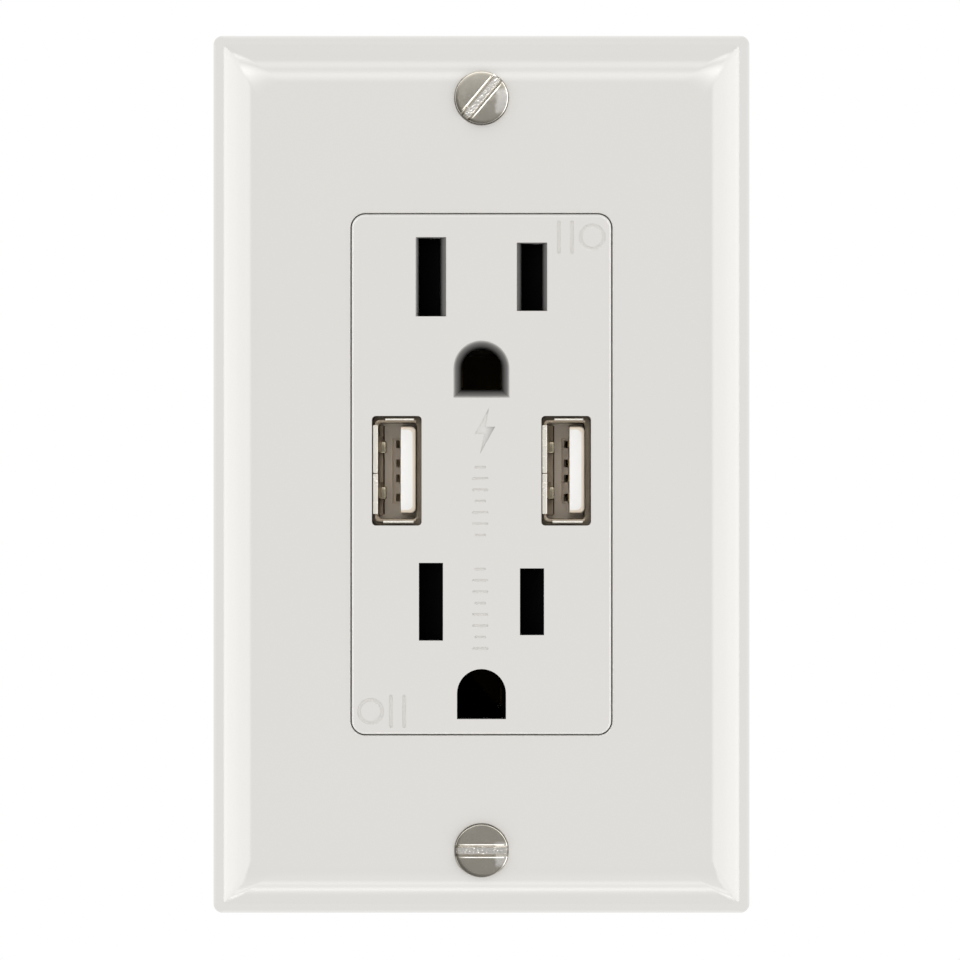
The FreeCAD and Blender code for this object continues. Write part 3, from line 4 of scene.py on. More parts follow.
import bmesh
import bpy
import numpy as np
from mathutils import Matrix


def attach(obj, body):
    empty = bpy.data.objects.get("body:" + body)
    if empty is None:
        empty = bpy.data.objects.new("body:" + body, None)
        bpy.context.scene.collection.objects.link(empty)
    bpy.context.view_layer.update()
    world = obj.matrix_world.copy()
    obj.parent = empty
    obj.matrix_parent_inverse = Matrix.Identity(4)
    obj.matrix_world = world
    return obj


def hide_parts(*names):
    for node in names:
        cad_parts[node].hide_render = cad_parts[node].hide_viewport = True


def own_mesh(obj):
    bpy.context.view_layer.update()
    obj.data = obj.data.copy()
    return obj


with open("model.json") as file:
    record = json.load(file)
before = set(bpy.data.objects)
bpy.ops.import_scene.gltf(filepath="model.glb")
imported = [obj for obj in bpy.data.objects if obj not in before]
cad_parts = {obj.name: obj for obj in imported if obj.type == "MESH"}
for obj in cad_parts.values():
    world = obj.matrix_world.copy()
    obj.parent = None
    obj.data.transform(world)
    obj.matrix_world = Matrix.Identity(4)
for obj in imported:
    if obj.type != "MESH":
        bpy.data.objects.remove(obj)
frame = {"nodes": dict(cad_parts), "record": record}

# Duplex wall socket with two charging ports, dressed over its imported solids.
# Pieces are worked out in millimetres as seen from the front: x right, up, and out of the wall.
bpy.context.view_layer.update()
mm = 0.001
nodes = frame["nodes"]


# Tools for node trees

def addNode(tree, kind, **values):
    node = tree.nodes.new(kind)
    for name, value in values.items():
        setattr(node, name, value)
    return node


def named(node, *titles):
    return [node.inputs[title] for title in titles]


def feed(tree, sockets, values):
    # another node's output is linked, a number or colour is set
    for socket, value in zip(sockets, values):
        if isinstance(value, bpy.types.NodeSocket):
            tree.links.new(value, socket)
        else:
            socket.default_value = value


def mathNode(tree, how, a, b=0.0):
    node = addNode(tree, "ShaderNodeMath", operation=how)
    feed(tree, node.inputs, (a, b))
    return node.outputs[0]


def blendNode(tree, share, a, b):
    # numbers: a where the share is 0, b where it is 1
    node = addNode(tree, "ShaderNodeMix")
    feed(tree, named(node, "Factor", "A", "B"), (share, a, b))
    return node.outputs["Result"]


def colourNode(tree, share, a, b):
    node = addNode(tree, "ShaderNodeMix", data_type="RGBA")
    feed(tree, [node.inputs[i] for i in (0, 6, 7)], (share, a, b))
    return node.outputs[2]


def rangeNode(tree, value, low, high, start=0.0, stop=1.0):
    # from start to stop as the value goes from low to high, and level outside them
    node = addNode(tree, "ShaderNodeMapRange")
    sockets = named(node, "Value", "From Min", "From Max", "To Min", "To Max")
    feed(tree, sockets, (value, low, high, start, stop))
    return node.outputs["Result"]


# Camera, light and floor

cameraSetup = {
    "lens": 127.05,          # mm on the sensor's width
    "sensor": 36.0,
    "distance": 441.6,       # mm, from the wall's surface to the lens
    "across": -0.19,         # mm, how far the lens is off the plate's middle
    "up": -0.74,
    "clip": (0.01, 50.0),
}

lightSetup = {
    "background": 1.0,       # what the camera sees behind the part
    "fill": 1.0,             # soft light from all round
    "behind": (0.72, 1.15),  # what gloss sees past the part's sides, and straight behind it
    "room": 0.55,            # what gloss sees straight ahead
    "brightest": 4.0,
    # what gloss sees from straight down to straight up, as (degrees, brightness): two long lamps
    # on either side of the lens axis
    "upright": [(-90, 0.53), (-77, 0.53), (-71, 0.97), (-66, 1.95), (-60.7, 3.8), (-56, 2.4), (-53, 1.8),
                (-50, 2.0), (-46, 2.7), (-43, 2.1), (-39, 1.1), (-30, 0.8), (-20, 0.45), (-8, 0.5),
                (8, 0.57), (14, 1.4), (19, 2.3), (23.5, 2.78), (29, 2.2), (36, 0.98), (42, 1.65),
                (48, 2.12), (53.5, 1.5), (58.5, 0.55), (90, 0.55)],
    # and to either side, from straight ahead to straight behind: one broad screen
    "sideways": [(0, 0.0), (27, 0.0), (29.5, 1.1), (32.5, 2.2), (34.5, 2.72), (48, 2.85), (60, 3.05),
                 (68, 3.3), (86, 3.3), (93, 3.4), (98, 2.9), (103, 0.7), (180, 0.0)],
    # from here on, parts of a direction of length 1
    "screenEnd": (-0.02, 0.08),     # the screens begin as it goes this much further sideways than up or down
    "lampMiddle": (0.12, 0.4),      # the lamps grow brighter between these, out from their middle
    "lampEnds": (1.4, 2.2),         # how much brighter the lower and the upper one are by then
    "lampSplit": (-0.1, 0.1),       # where the lower one ends and the upper one begins
    "lampStop": (0.55, 0.75),       # where they fade out
    "side": (0.3, 0.4),             # where lamps and screens give way to what is behind
    "rear": (0.72, 0.92),
}

floorSetup = {"radius": 0.38, "level": -0.118, "corners": 96, "colour": (0.86, 0.86, 0.855), "rough": 0.6}


def makeCamera(c):
    lens = bpy.data.cameras.new("camera")
    lens.lens = c["lens"]
    lens.sensor_width = c["sensor"]
    lens.clip_start, lens.clip_end = c["clip"]
    camera = bpy.data.objects.new("camera", lens)
    camera.location = (c["across"] * mm, -c["distance"] * mm, c["up"] * mm)
    camera.rotation_euler = (math.radians(90), 0, 0)
    bpy.context.scene.collection.objects.link(camera)
    bpy.context.scene.camera = camera


def lampRamp(tree, angle, stops, brightest):
    # brightness against an angle, whose stops are in degrees
    lowest, widest = stops[0][0], stops[-1][0]
    ramp = addNode(tree, "ShaderNodeValToRGB")
    ramp.color_ramp.interpolation = "CARDINAL"
    elements = ramp.color_ramp.elements
    while len(elements) < len(stops):
        elements.new(0.5)
    for element, (degrees, bright) in zip(elements, stops):
        element.position = (degrees - lowest) / (widest - lowest)
        element.color = (*[bright / brightest] * 3, 1)
    tree.links.new(rangeNode(tree, angle, math.radians(lowest), math.radians(widest)), ramp.inputs["Fac"])
    return ramp.outputs["Color"]


def makeRoom(c):
    # white behind the part, an even fill for matt surfaces, and lamps and screens that only gloss sees
    world = bpy.data.worlds.new("studio")
    bpy.context.scene.world = world
    world.use_nodes = True
    tree = world.node_tree
    tree.nodes.clear()
    out = addNode(tree, "ShaderNodeOutputWorld")
    sky = addNode(tree, "ShaderNodeBackground")
    sky.inputs["Color"].default_value = (1, 1, 1, 1)
    path = addNode(tree, "ShaderNodeLightPath")
    split = addNode(tree, "ShaderNodeSeparateXYZ")
    tree.links.new(addNode(tree, "ShaderNodeTexCoord").outputs["Generated"], split.inputs[0])
    x, y, z = split.outputs
    ahead = mathNode(tree, "MULTIPLY", y, -1.0)
    across, height = mathNode(tree, "ABSOLUTE", x), mathNode(tree, "ABSOLUTE", z)
    upright = lampRamp(tree, mathNode(tree, "ARCTAN2", z, ahead), c["upright"], c["brightest"])
    sideways = lampRamp(tree, mathNode(tree, "ARCTAN2", across, ahead), c["sideways"], c["brightest"])
    # the screens reach up and down as far as they reach out, which is where the plate's corners are
    reach = rangeNode(tree, mathNode(tree, "SUBTRACT", across, height), *c["screenEnd"])
    screens = mathNode(tree, "MULTIPLY", sideways, reach)
    ends = blendNode(tree, rangeNode(tree, z, *c["lampSplit"]), *c["lampEnds"])
    hot = blendNode(tree, rangeNode(tree, across, *c["lampMiddle"]), 1.0, ends)
    strength = mathNode(tree, "MULTIPLY", hot, rangeNode(tree, across, *c["lampStop"], 1.0, 0.0))
    room = c["room"] / c["brightest"]
    lamps = mathNode(tree, "MULTIPLY", mathNode(tree, "SUBTRACT", upright, room), strength)
    lamps = mathNode(tree, "ADD", lamps, room)
    front = mathNode(tree, "MULTIPLY", mathNode(tree, "MAXIMUM", lamps, screens), c["brightest"])
    behind = rangeNode(tree, y, *c["rear"], *c["behind"])
    gloss = blendNode(tree, rangeNode(tree, y, *c["side"]), front, behind)
    lit = blendNode(tree, path.outputs["Is Glossy Ray"], c["fill"], gloss)
    seen = blendNode(tree, path.outputs["Is Camera Ray"], lit, c["background"])
    tree.links.new(seen, sky.inputs["Strength"])
    tree.links.new(sky.outputs[0], out.inputs["Surface"])
    world.cycles.sampling_method = "NONE"


def makeFloor(f):
    # a round pale floor, low enough to stay out of the front view
    turn = np.linspace(0, 2 * np.pi, f["corners"], endpoint=False)
    edge = np.stack([np.cos(turn) * f["radius"], np.sin(turn) * f["radius"], 0 * turn + f["level"]], 1)
    mesh = bpy.data.meshes.new("floor")
    mesh.from_pydata(edge.tolist(), [], [list(range(len(edge)))])
    floor = bpy.data.objects.new("floor", mesh)
    bpy.context.scene.collection.objects.link(floor)
    pale = bpy.data.materials.new("palePaint")
    pale.use_nodes = True
    shader = pale.node_tree.nodes["Principled BSDF"]
    shader.inputs["Base Color"].default_value = (*f["colour"], 1)
    shader.inputs["Roughness"].default_value = f["rough"]
    mesh.materials.append(pale)
    floor.visible_glossy = False     # the lamps below the part are further down than the floor
    floor.visible_diffuse = False


bpy.context.scene.view_settings.view_transform = "Standard"
makeCamera(cameraSetup)
makeRoom(lightSetup)
makeFloor(floorSetup)
print("camera, room and floor are set")


# Surface effects that the finishes share, as node groups

def newGroup(name, inputs, outputs):
    # every group takes a point; its other inputs are numbers or vectors, as their values are
    group = bpy.data.node_groups.new(name, "ShaderNodeTree")
    for title, value in [("Vector", (0.0, 0.0, 0.0)), *inputs]:
        kind = "NodeSocketFloat" if isinstance(value, float) else "NodeSocketVector"
        group.interface.new_socket(title, in_out="INPUT", socket_type=kind).default_value = value
    for title in outputs:
        group.interface.new_socket(title, in_out="OUTPUT", socket_type="NodeSocketFloat")
    return group, group.nodes.new("NodeGroupInput").outputs, group.nodes.new("NodeGroupOutput").inputs


def noiseNode(tree, vector, scale, detail):
    node = addNode(tree, "ShaderNodeTexNoise")
    feed(tree, named(node, "Vector", "Scale", "Detail"), (vector, scale, detail))
    return node.outputs["Fac"]


patterns = {
    # the broad noise's scale, the fine one's detail and its share of the tone
    "grain": {"name": "surfaceGrain", "broad": 0.08, "detail": 3.0, "fine": 0.25},
    "lines": {"name": "drawnLines", "broad": 0.1, "detail": 4.0, "fine": 0.6, "draw": (1.0, 1.0, 0.05)},
}


def makePattern(p):
    # two noises: a broad one for tone and a fine one for the skin of a moulding or casting, which is
    # drawn out along one axis where rolling or a wire brush leaves lines
    inputs = [("Scale", 1000.0)] + ([("Draw", p["draw"])] if "draw" in p else [])
    group, given, results = newGroup(p["name"], inputs, ["Tone", "Height"])
    vector, scale = given["Vector"], given["Scale"]
    broad = noiseNode(group, vector, mathNode(group, "MULTIPLY", scale, p["broad"]), 2.0)
    if "draw" in p:
        stretch = addNode(group, "ShaderNodeVectorMath", operation="MULTIPLY")
        feed(group, stretch.inputs, (vector, given["Draw"]))
        vector = stretch.outputs[0]
    fine = noiseNode(group, vector, scale, p["detail"])
    shares = mathNode(group, "MULTIPLY", broad, 1 - p["fine"]), mathNode(group, "MULTIPLY", fine, p["fine"])
    feed(group, results, (mathNode(group, "ADD", *shares), fine))
    return group


def makeHandling():
    # sparse soft marks, where a smooth part has been touched or rubbed
    group, given, results = newGroup("handlingMarks", [("Scale", 300.0)], ["Mask"])
    patch = noiseNode(group, given["Vector"], given["Scale"], 5.0)
    feed(group, results, [rangeNode(group, patch, 0.52, 0.78)])
    return group


grainGroup = makePattern(patterns["grain"])
brushGroup = makePattern(patterns["lines"])
handlingGroup = makeHandling()


def look(base, second, metal, rough, scale, bump, **more):
    # two colours, metal or not, roughness from and to, the pattern's scale per metre and its bump in
    # micrometres; also how the pattern is drawn out or its kind, and what a piece's shade mixes in
    return dict(base=base, second=second, metal=metal, rough=rough, scale=scale, bump=bump, **more)


finishes = {
    "white_gloss": look((0.758, 0.742, 0.712), (0.748, 0.732, 0.702), 0.0, (0.075, 0.11), 700, 0.25,
                        specular=0.62),
    # the plate screws' nickel: its dark colour is painted shade on the head, its light one painted highlights
    "plateNickel": look((0.5, 0.47, 0.405), (0.46, 0.43, 0.37), 1.0, (0.17, 0.25), 2600, 2.0,
                        dark=(0.22, 0.205, 0.175), light=(1.0, 0.97, 0.92)),
    # the port's lip edges: tin lightened as painted highlights
    "highlightTin": look((0.9, 0.865, 0.79), (0.8, 0.765, 0.69), 0.3, (0.25, 0.38), 4000, 1.5),
    # the port's shell and the sheets inside it: tin darkened as painted shade
    "shadedTin": look((0.36, 0.3, 0.225), (0.26, 0.21, 0.155), 0.6, (0.4, 0.6), 3000, 4.0),
    # the tongue's white, with a beige colour for painted shade on its rounded rim
    "tongueWhite": look((0.98, 0.975, 0.96), (0.97, 0.96, 0.94), 0.0, (0.3, 0.4), 3000, 1.0,
                        dark=(0.84, 0.74, 0.61)),
    # the insulator's white tinted beige for the tongue's base: painted warm light, bounced from the shell
    "beigeBase": look((0.98, 0.9, 0.79), (0.92, 0.84, 0.73), 0.0, (0.35, 0.45), 3000, 1.5),
    "tabTin": look((0.36, 0.32, 0.24), (0.27, 0.24, 0.17), 1.0, (0.2, 0.34), 3000, 2.0),
    "nickel": look((0.6, 0.575, 0.52), (0.53, 0.505, 0.45), 1.0, (0.16, 0.3), 2600, 2.5),
    "zinc_steel": look((0.62, 0.63, 0.65), (0.5, 0.51, 0.52), 1.0, (0.26, 0.42), 1800, 3.0,
                       draw=(1.0, 1.0, 0.06)),
    "tin_steel": look((0.66, 0.6, 0.52), (0.56, 0.5, 0.43), 1.0, (0.12, 0.24), 3000, 1.0,
                      draw=(1.0, 0.05, 1.0)),
    "black_nylon": look((0.002, 0.002, 0.002), (0.003, 0.003, 0.003), 0.0, (0.6, 0.75), 3000, 3.0,
                        specular=0.02),
    "spring_steel": look((0.5, 0.5, 0.5), (0.38, 0.38, 0.38), 1.0, (0.25, 0.4), 6000, 1.0),
    "thermoset": look((0.035, 0.035, 0.038), (0.06, 0.06, 0.064), 0.0, (0.42, 0.58), 2400, 6.0),
    "brass": look((0.72, 0.5, 0.2), (0.6, 0.4, 0.15), 1.0, (0.22, 0.4), 1500, 2.0,
                  draw=(1.0, 1.0, 0.06)),
    "tin_brass": look((0.62, 0.6, 0.56), (0.52, 0.5, 0.45), 1.0, (0.25, 0.42), 1500, 2.0,
                      draw=(1.0, 1.0, 0.06)),
    "brass_screw": look((0.74, 0.53, 0.22), (0.63, 0.43, 0.16), 1.0, (0.18, 0.32), 2600, 2.0),
    "green_screw": look((0.05, 0.3, 0.1), (0.03, 0.2, 0.07), 0.85, (0.25, 0.4), 2600, 2.0),
    "white_insulator": look((0.93, 0.92, 0.9), (0.9, 0.88, 0.85), 0.0, (0.32, 0.42), 3000, 1.5),
    "gold_contact": look((0.8, 0.6, 0.28), (0.7, 0.5, 0.22), 1.0, (0.16, 0.28), 5000, 0.6),
    "circuit_board": look((0.012, 0.1, 0.035), (0.025, 0.19, 0.075), 0.0, (0.22, 0.36), 420, 12.0,
                          kind="tracks"),
    "insulating_paper": look((0.62, 0.56, 0.4), (0.5, 0.44, 0.3), 0.0, (0.7, 0.85), 1600, 10.0,
                             draw=(1.0, 1.0, 0.2)),
    "ferrite": look((0.035, 0.035, 0.037), (0.07, 0.07, 0.072), 0.0, (0.45, 0.65), 2600, 8.0),
    "winding_tape": look((0.8, 0.52, 0.05), (0.62, 0.36, 0.03), 0.0, (0.2, 0.34), 900, 22.0,
                         kind="layers"),
    "capacitor_can": look((0.012, 0.02, 0.05), (0.03, 0.04, 0.08), 0.0, (0.2, 0.3), 1200, 2.0),
    "copper_coil": look((0.55, 0.22, 0.07), (0.3, 0.1, 0.03), 1.0, (0.2, 0.35), 1300, 60.0,
                        kind="layers"),
    "fuse_glass": look((0.66, 0.7, 0.7), (0.55, 0.58, 0.58), 0.0, (0.05, 0.1), 900, 0.3),
    "black_epoxy": look((0.02, 0.02, 0.021), (0.035, 0.035, 0.036), 0.0, (0.45, 0.6), 2600, 6.0),
    "capacitor_box": look((0.78, 0.5, 0.02), (0.7, 0.43, 0.02), 0.0, (0.22, 0.32), 900, 2.0),
    # the ground bus's brass, darkened almost to black: painted shade down the ground holes
    "shadedGroundBrass": look((0.05, 0.035, 0.015), (0.035, 0.025, 0.01), 1.0, (0.55, 0.7), 1500, 3.0),
    "fibre": look((0.36, 0.07, 0.04), (0.27, 0.05, 0.03), 0.0, (0.5, 0.7), 2000, 8.0),
}
# the cover's white with a near-black colour that its shade mixes in: painted shade inside the openings
finishes["socketWhite"] = dict(finishes["white_gloss"], dark=(0.003, 0.003, 0.003))


def patternFor(tree, spot, f):
    # tone and height sockets of the finish's own pattern
    kind = f.get("kind")
    if kind == "layers":     # wire or tape lying turn beside turn, along the line out of the wall
        wave = addNode(tree, "ShaderNodeTexWave", bands_direction="Y", wave_profile="SIN")
        feed(tree, named(wave, "Vector", "Scale", "Distortion"), (spot, f["scale"], 0.4))
        return wave.outputs["Fac"], wave.outputs["Fac"]
    if kind == "tracks":     # copper tracks under the green mask: cells with straight sides
        cells = addNode(tree, "ShaderNodeTexVoronoi", distance="CHEBYCHEV", feature="F2")
        feed(tree, named(cells, "Vector", "Scale"), (spot, f["scale"]))
        edge = rangeNode(tree, cells.outputs["Distance"], 0.55, 0.62)
        return edge, edge
    grain = addNode(tree, "ShaderNodeGroup", node_tree=brushGroup if "draw" in f else grainGroup)
    feed(tree, grain.inputs, (spot, f["scale"], f.get("draw")))
    return grain.outputs["Tone"], grain.outputs["Height"]


def shaded(tree, colour, f):
    # the piece's own shade mixes in the finish's dark colour where it is positive, its light one where
    # it is negative
    given = addNode(tree, "ShaderNodeAttribute", attribute_name="shade").outputs["Fac"]
    for title, way in (("dark", 1.0), ("light", -1.0)):
        if title in f:
            share = mathNode(tree, "MAXIMUM", mathNode(tree, "MULTIPLY", given, way), 0.0)
            colour = colourNode(tree, share, colour, (*f[title], 1))
    return colour


def makeFinish(name, f):
    material = bpy.data.materials.new(name + "Finish")
    material.use_nodes = True
    tree = material.node_tree
    shader = tree.nodes["Principled BSDF"]
    spot = addNode(tree, "ShaderNodeTexCoord").outputs["Object"]
    tone, height = patternFor(tree, spot, f)
    marks = addNode(tree, "ShaderNodeGroup", node_tree=handlingGroup)
    feed(tree, marks.inputs, (spot, f["scale"] * 0.25))
    colour = colourNode(tree, tone, (*f["base"], 1), (*f["second"], 1))
    tree.links.new(shaded(tree, colour, f), shader.inputs["Base Color"])
    tree.links.new(rangeNode(tree, marks.outputs["Mask"], 0.0, 1.0, *f["rough"]), shader.inputs["Roughness"])
    bump = addNode(tree, "ShaderNodeBump")
    feed(tree, named(bump, "Distance", "Height"), (f["bump"] * 1e-6, height))
    tree.links.new(bump.outputs["Normal"], shader.inputs["Normal"])
    feed(tree, named(shader, "Metallic", "Specular IOR Level"), (f["metal"], f.get("specular", 0.5)))
    return material


materials = {name: makeFinish(name, f) for name, f in finishes.items()}
slotOf = {part["node"]: part["material_slot"] for part in frame["record"]["subparts"]}
slotOf["ground_bus"] = "shadedGroundBrass"         # brass darkened almost to black as painted shade, so that it stays dark down the ground holes
# the contact carrier is made black instead of its thermoset: painted shade, as it is seen only down the holes
slotOf["contact_carrier"] = "black_nylon"
for name, node in nodes.items():
    for i in range(len(node.data.materials)):
        node.data.materials[i] = materials[slotOf[name]]
print(len(materials), "finishes made and put on", len(nodes), "nodes")


# Tools for making pieces

def toRow(x, up, out):
    # from the front's own axes, in millimetres, to the row's, in metres
    x, up, out = np.broadcast_arrays(x, up, out)
    return np.stack([x, -out, up], -1) * mm


def meshOf(name, points, faces):
    mesh = bpy.data.meshes.new(name)
    mesh.from_pydata(np.asarray(points).reshape(-1, 3).tolist(), [], faces)
    mesh.validate()
    piece = bpy.data.objects.new(name, mesh)
    bpy.context.scene.collection.objects.link(piece)
    return piece


def pointsOf(piece):
    co = np.zeros(len(piece.data.vertices) * 3)
    piece.data.vertices.foreach_get("co", co)
    return co.reshape(-1, 3)


def setPoints(piece, points):
    piece.data.vertices.foreach_set("co", points.astype(np.float32).reshape(-1))
    piece.data.update()


def gridPiece(name, grid, closed=False):
    # a grid of points as one surface: every row closes round on itself, and either the last row
    # joins the first or both get a flat cap
    rows, columns = grid.shape[:2]
    a = np.arange(rows * columns).reshape(rows, columns)
    low, high = (a, np.roll(a, -1, 0)) if closed else (a[:-1], a[1:])
    faces = np.stack([low, np.roll(low, -1, 1), np.roll(high, -1, 1), high], -1).reshape(-1, 4).tolist()
    if not closed:
        faces += [a[0, ::-1].tolist(), a[-1].tolist()]
    piece = meshOf(name, grid, faces)
    outward(piece)
    return piece


def outward(piece):
    edit = bmesh.new()
    edit.from_mesh(piece.data)
    bmesh.ops.remove_doubles(edit, verts=edit.verts, dist=1e-7)
    bmesh.ops.recalc_face_normals(edit, faces=edit.faces)
    edit.to_mesh(piece.data)
    edit.free()


def weldedCopy(name, node):
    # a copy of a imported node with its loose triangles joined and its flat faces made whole
    source = nodes[node]
    corners = np.zeros(len(source.data.loops), int)
    source.data.loops.foreach_get("vertex_index", corners)
    places, which = np.unique(pointsOf(source).round(8), axis=0, return_inverse=True)
    triangles = which.reshape(-1)[corners].reshape(-1, 3)
    triangles = triangles[(triangles != np.roll(triangles, 1, 1)).all(1)]
    piece = meshOf(name, places, triangles.tolist())
    edit = bmesh.new()
    edit.from_mesh(piece.data)
    bmesh.ops.dissolve_limit(edit, angle_limit=math.radians(0.5), verts=edit.verts, edges=edit.edges)
    edit.to_mesh(piece.data)
    edit.free()
    return piece


def settle(piece):
    # make the modifiers part of the mesh
    bpy.context.view_layer.update()
    found = piece.evaluated_get(bpy.context.evaluated_depsgraph_get())
    mesh = bpy.data.meshes.new_from_object(found)
    piece.modifiers.clear()
    piece.data = mesh


def carve(piece, tool, how="DIFFERENCE"):
    cut = piece.modifiers.new("carve", "BOOLEAN")
    cut.operation = how
    cut.solver = "EXACT"
    cut.object = tool
    settle(piece)
    bpy.data.objects.remove(tool)


def soften(piece, width, angle=40.0, segments=2):
    # round every edge sharper than the angle
    edge = piece.modifiers.new("soften", "BEVEL")
    edge.width = width * mm
    edge.segments = segments
    edge.limit_method = "ANGLE"
    edge.angle_limit = math.radians(angle)
    edge.miter_outer = "MITER_ARC"
    settle(piece)


def smoothed(piece, angle=35.0):
    # smooth shading up to the angle, with the broad faces' own normals kept
    mesh = piece.data
    mesh.shade_smooth()
    mesh.set_sharp_from_angle(angle=math.radians(angle))
    weight = piece.modifiers.new("weight", "WEIGHTED_NORMAL")
    weight.mode = "FACE_AREA"
    weight.keep_sharp = True
    weight.weight = 80
    settle(piece)


def eased(piece, width, slotName, *replaced, segments=2, angle=35.0, finish=None):
    soften(piece, width, segments=segments)
    smoothed(piece, angle)
    place(piece, slotName, *replaced, finish=finish)


def joined(name, parts):
    # several closed shells as one piece
    points, faces, start = [], [], 0
    for part in parts:
        points.append(pointsOf(part))
        faces += [[v + start for v in face.vertices] for face in part.data.polygons]
        start += len(points[-1])
        bpy.data.objects.remove(part)
    return meshOf(name, np.concatenate(points), faces)


def giveShade(piece, shade):
    # a number for each vertex, which the finish reads
    layer = piece.data.attributes.new("shade", "FLOAT", "POINT")
    layer.data.foreach_set("value", np.asarray(shade, np.float32).reshape(-1))


def place(piece, slotName, *replaced, body="socket", finish=None):
    piece.data.materials.clear()
    piece.data.materials.append(materials[finish or slotName])
    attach(piece, body)
    if replaced:
        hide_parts(*replaced)


def ringOutline(halfWidth, halfHeight, radius, count=18):
    # a rounded rectangle: each corner's centre plus a quarter circle, one corner after the other
    quarter = np.linspace(0, np.pi / 2, count)
    turn = quarter[None, :] + np.arange(4)[:, None] * np.pi / 2
    signX, signUp = np.array([1, -1, -1, 1])[:, None], np.array([1, 1, -1, -1])[:, None]
    x = signX * (halfWidth - radius) + radius * np.cos(turn)
    up = signUp * (halfHeight - radius) + radius * np.sin(turn)
    return x.reshape(-1), up.reshape(-1)


def ringStack(rows):
    # rows of (half width, half height, corner radius, level) as a grid of points
    return np.array([toRow(*ringOutline(w, h, r), level) for w, h, r, level in rows])


def turnedPiece(name, profile, centre, count):
    # a profile of (radius, level) turned about a line out of the wall through centre
    radius, level = np.array(profile, float).T
    turn = np.linspace(0, 2 * np.pi, count, endpoint=False)
    x = centre[0] + radius[:, None] * np.cos(turn)
    up = centre[1] + radius[:, None] * np.sin(turn)
    return gridPiece(name, toRow(x, up, level[:, None]))


def prism(name, outline, levels):
    # an outline of (x, up) carried from one level to another
    x, up = np.array(outline, float).T
    return gridPiece(name, np.array([toRow(x, up, level) for level in levels]))


def blockPiece(name, x, up, levels):
    # an upright block between two x, two heights and two levels
    middle = (x[0] + x[1]) / 2, (up[0] + up[1]) / 2
    half = (x[1] - x[0]) / 2, (up[1] - up[0]) / 2
    return prism(name, np.array([(1, 1), (-1, 1), (-1, -1), (1, -1)]) * half + middle, levels)


def span(middle, low, high):
    return middle + low, middle + high


def roundEdge(radius, level, across, down, turn):
    # a quarter round in a profile, from the side at radius to the flat at level
    return [(radius - across * (1 - math.cos(t)), level - down + down * math.sin(t)) for t in turn]


# Wall plate

plate = {
    "halfWidth": 34.925, "halfHeight": 57.15, "depth": 5.6, "wall": 1.9,
    "corner": ((0, 1.55, 6.79), (1.2, 0.75, 2.7)),   # the corner radius against how far it is drawn in
    "crownRadius": 7.0, "crownTurn": 48.5, "edgeRadius": 0.25, "rimTurn": 64.42, "rimSwell": 0.13,
    "steps": (25, 7, 9, 6),                          # rows of the crown, its edge, the rim and the lip
    "opening": (16.85, 33.6, 1.9), "openingRound": 0.2, "collarWall": 1.2, "collarDrop": 1.5,
    "backInset": (7.74, 3.45, 1.9), "backStep": 2.29, "backCorner": 1.0,
    "screwUp": 48.42, "holeRadius": 2.15, "sinkRadius": 3.45, "sinkDepth": 1.7, "sinkRound": 0.16,
    "sinkTurn": (0.3, 1.57), "sinkAround": 72,
    "bossRadius": 3.1, "bossBack": 1.3, "bossInto": 0.3, "bossAround": 48,
    "ribX": (24.1, 30.0), "ribHalf": 0.5, "ribLevels": (2.2, 4.0),
    "smooth": 28.0,
}


def plateRows(p):
    # outside of the plate: the crown is an arc from the flat face down to crownTurn, then a small
    # arc to the rim's slope, then the rim runs to the wall with a slight swell
    crownSteps, edgeSteps, rimSteps, lipSteps = p["steps"]
    top, inside = p["depth"], p["depth"] - p["wall"]
    crown = np.radians(np.linspace(0, p["crownTurn"], crownSteps))
    small = np.radians(np.linspace(p["crownTurn"], p["rimTurn"], edgeSteps))
    run, fall = p["crownRadius"] * np.sin(crown), p["crownRadius"] * (1 - np.cos(crown))
    run = np.concatenate([run, run[-1] + p["edgeRadius"] * (np.sin(small[1:]) - np.sin(small[0]))])
    fall = np.concatenate([fall, fall[-1] + p["edgeRadius"] * (np.cos(small[0]) - np.cos(small[1:]))])
    inset = run[-1] + (top - fall[-1]) / math.tan(small[-1]) - run
    steps = np.linspace(1, 0, rimSteps)[1:]
    swell = p["rimSwell"] * 4 * steps * (1 - steps)
    slope = math.radians(p["rimTurn"])
    inset = np.concatenate([inset, inset[-1] * steps - swell * math.sin(slope)])
    level = np.concatenate([top - fall, (top - fall[-1]) * steps + swell * math.cos(slope)])
    corner = np.interp(inset, *p["corner"])
    outside = [(p["halfWidth"] - i, p["halfHeight"] - i, c, h) for i, c, h in zip(inset, corner, level)]
    w, h, c = p["opening"]
    e = p["openingRound"]
    arc = [(e * (1 - math.sin(t)), e * (1 - math.cos(t))) for t in np.linspace(0, np.pi / 2, lipSteps)]
    lip = [(w + wider, h + wider, c + wider, top - deeper) for wider, deeper in arc]
    low, wide = inside - p["collarDrop"], p["collarWall"]
    back = [(w, h, c, low), (w + wide, h + wide, c + wide, low), (w + wide, h + wide, c + wide, inside)]
    for i, level in zip(p["backInset"], (inside, p["backStep"], 0.0)):
        back.append((p["halfWidth"] - i, p["halfHeight"] - i, p["backCorner"], level))
    return outside[::-1] + lip + back


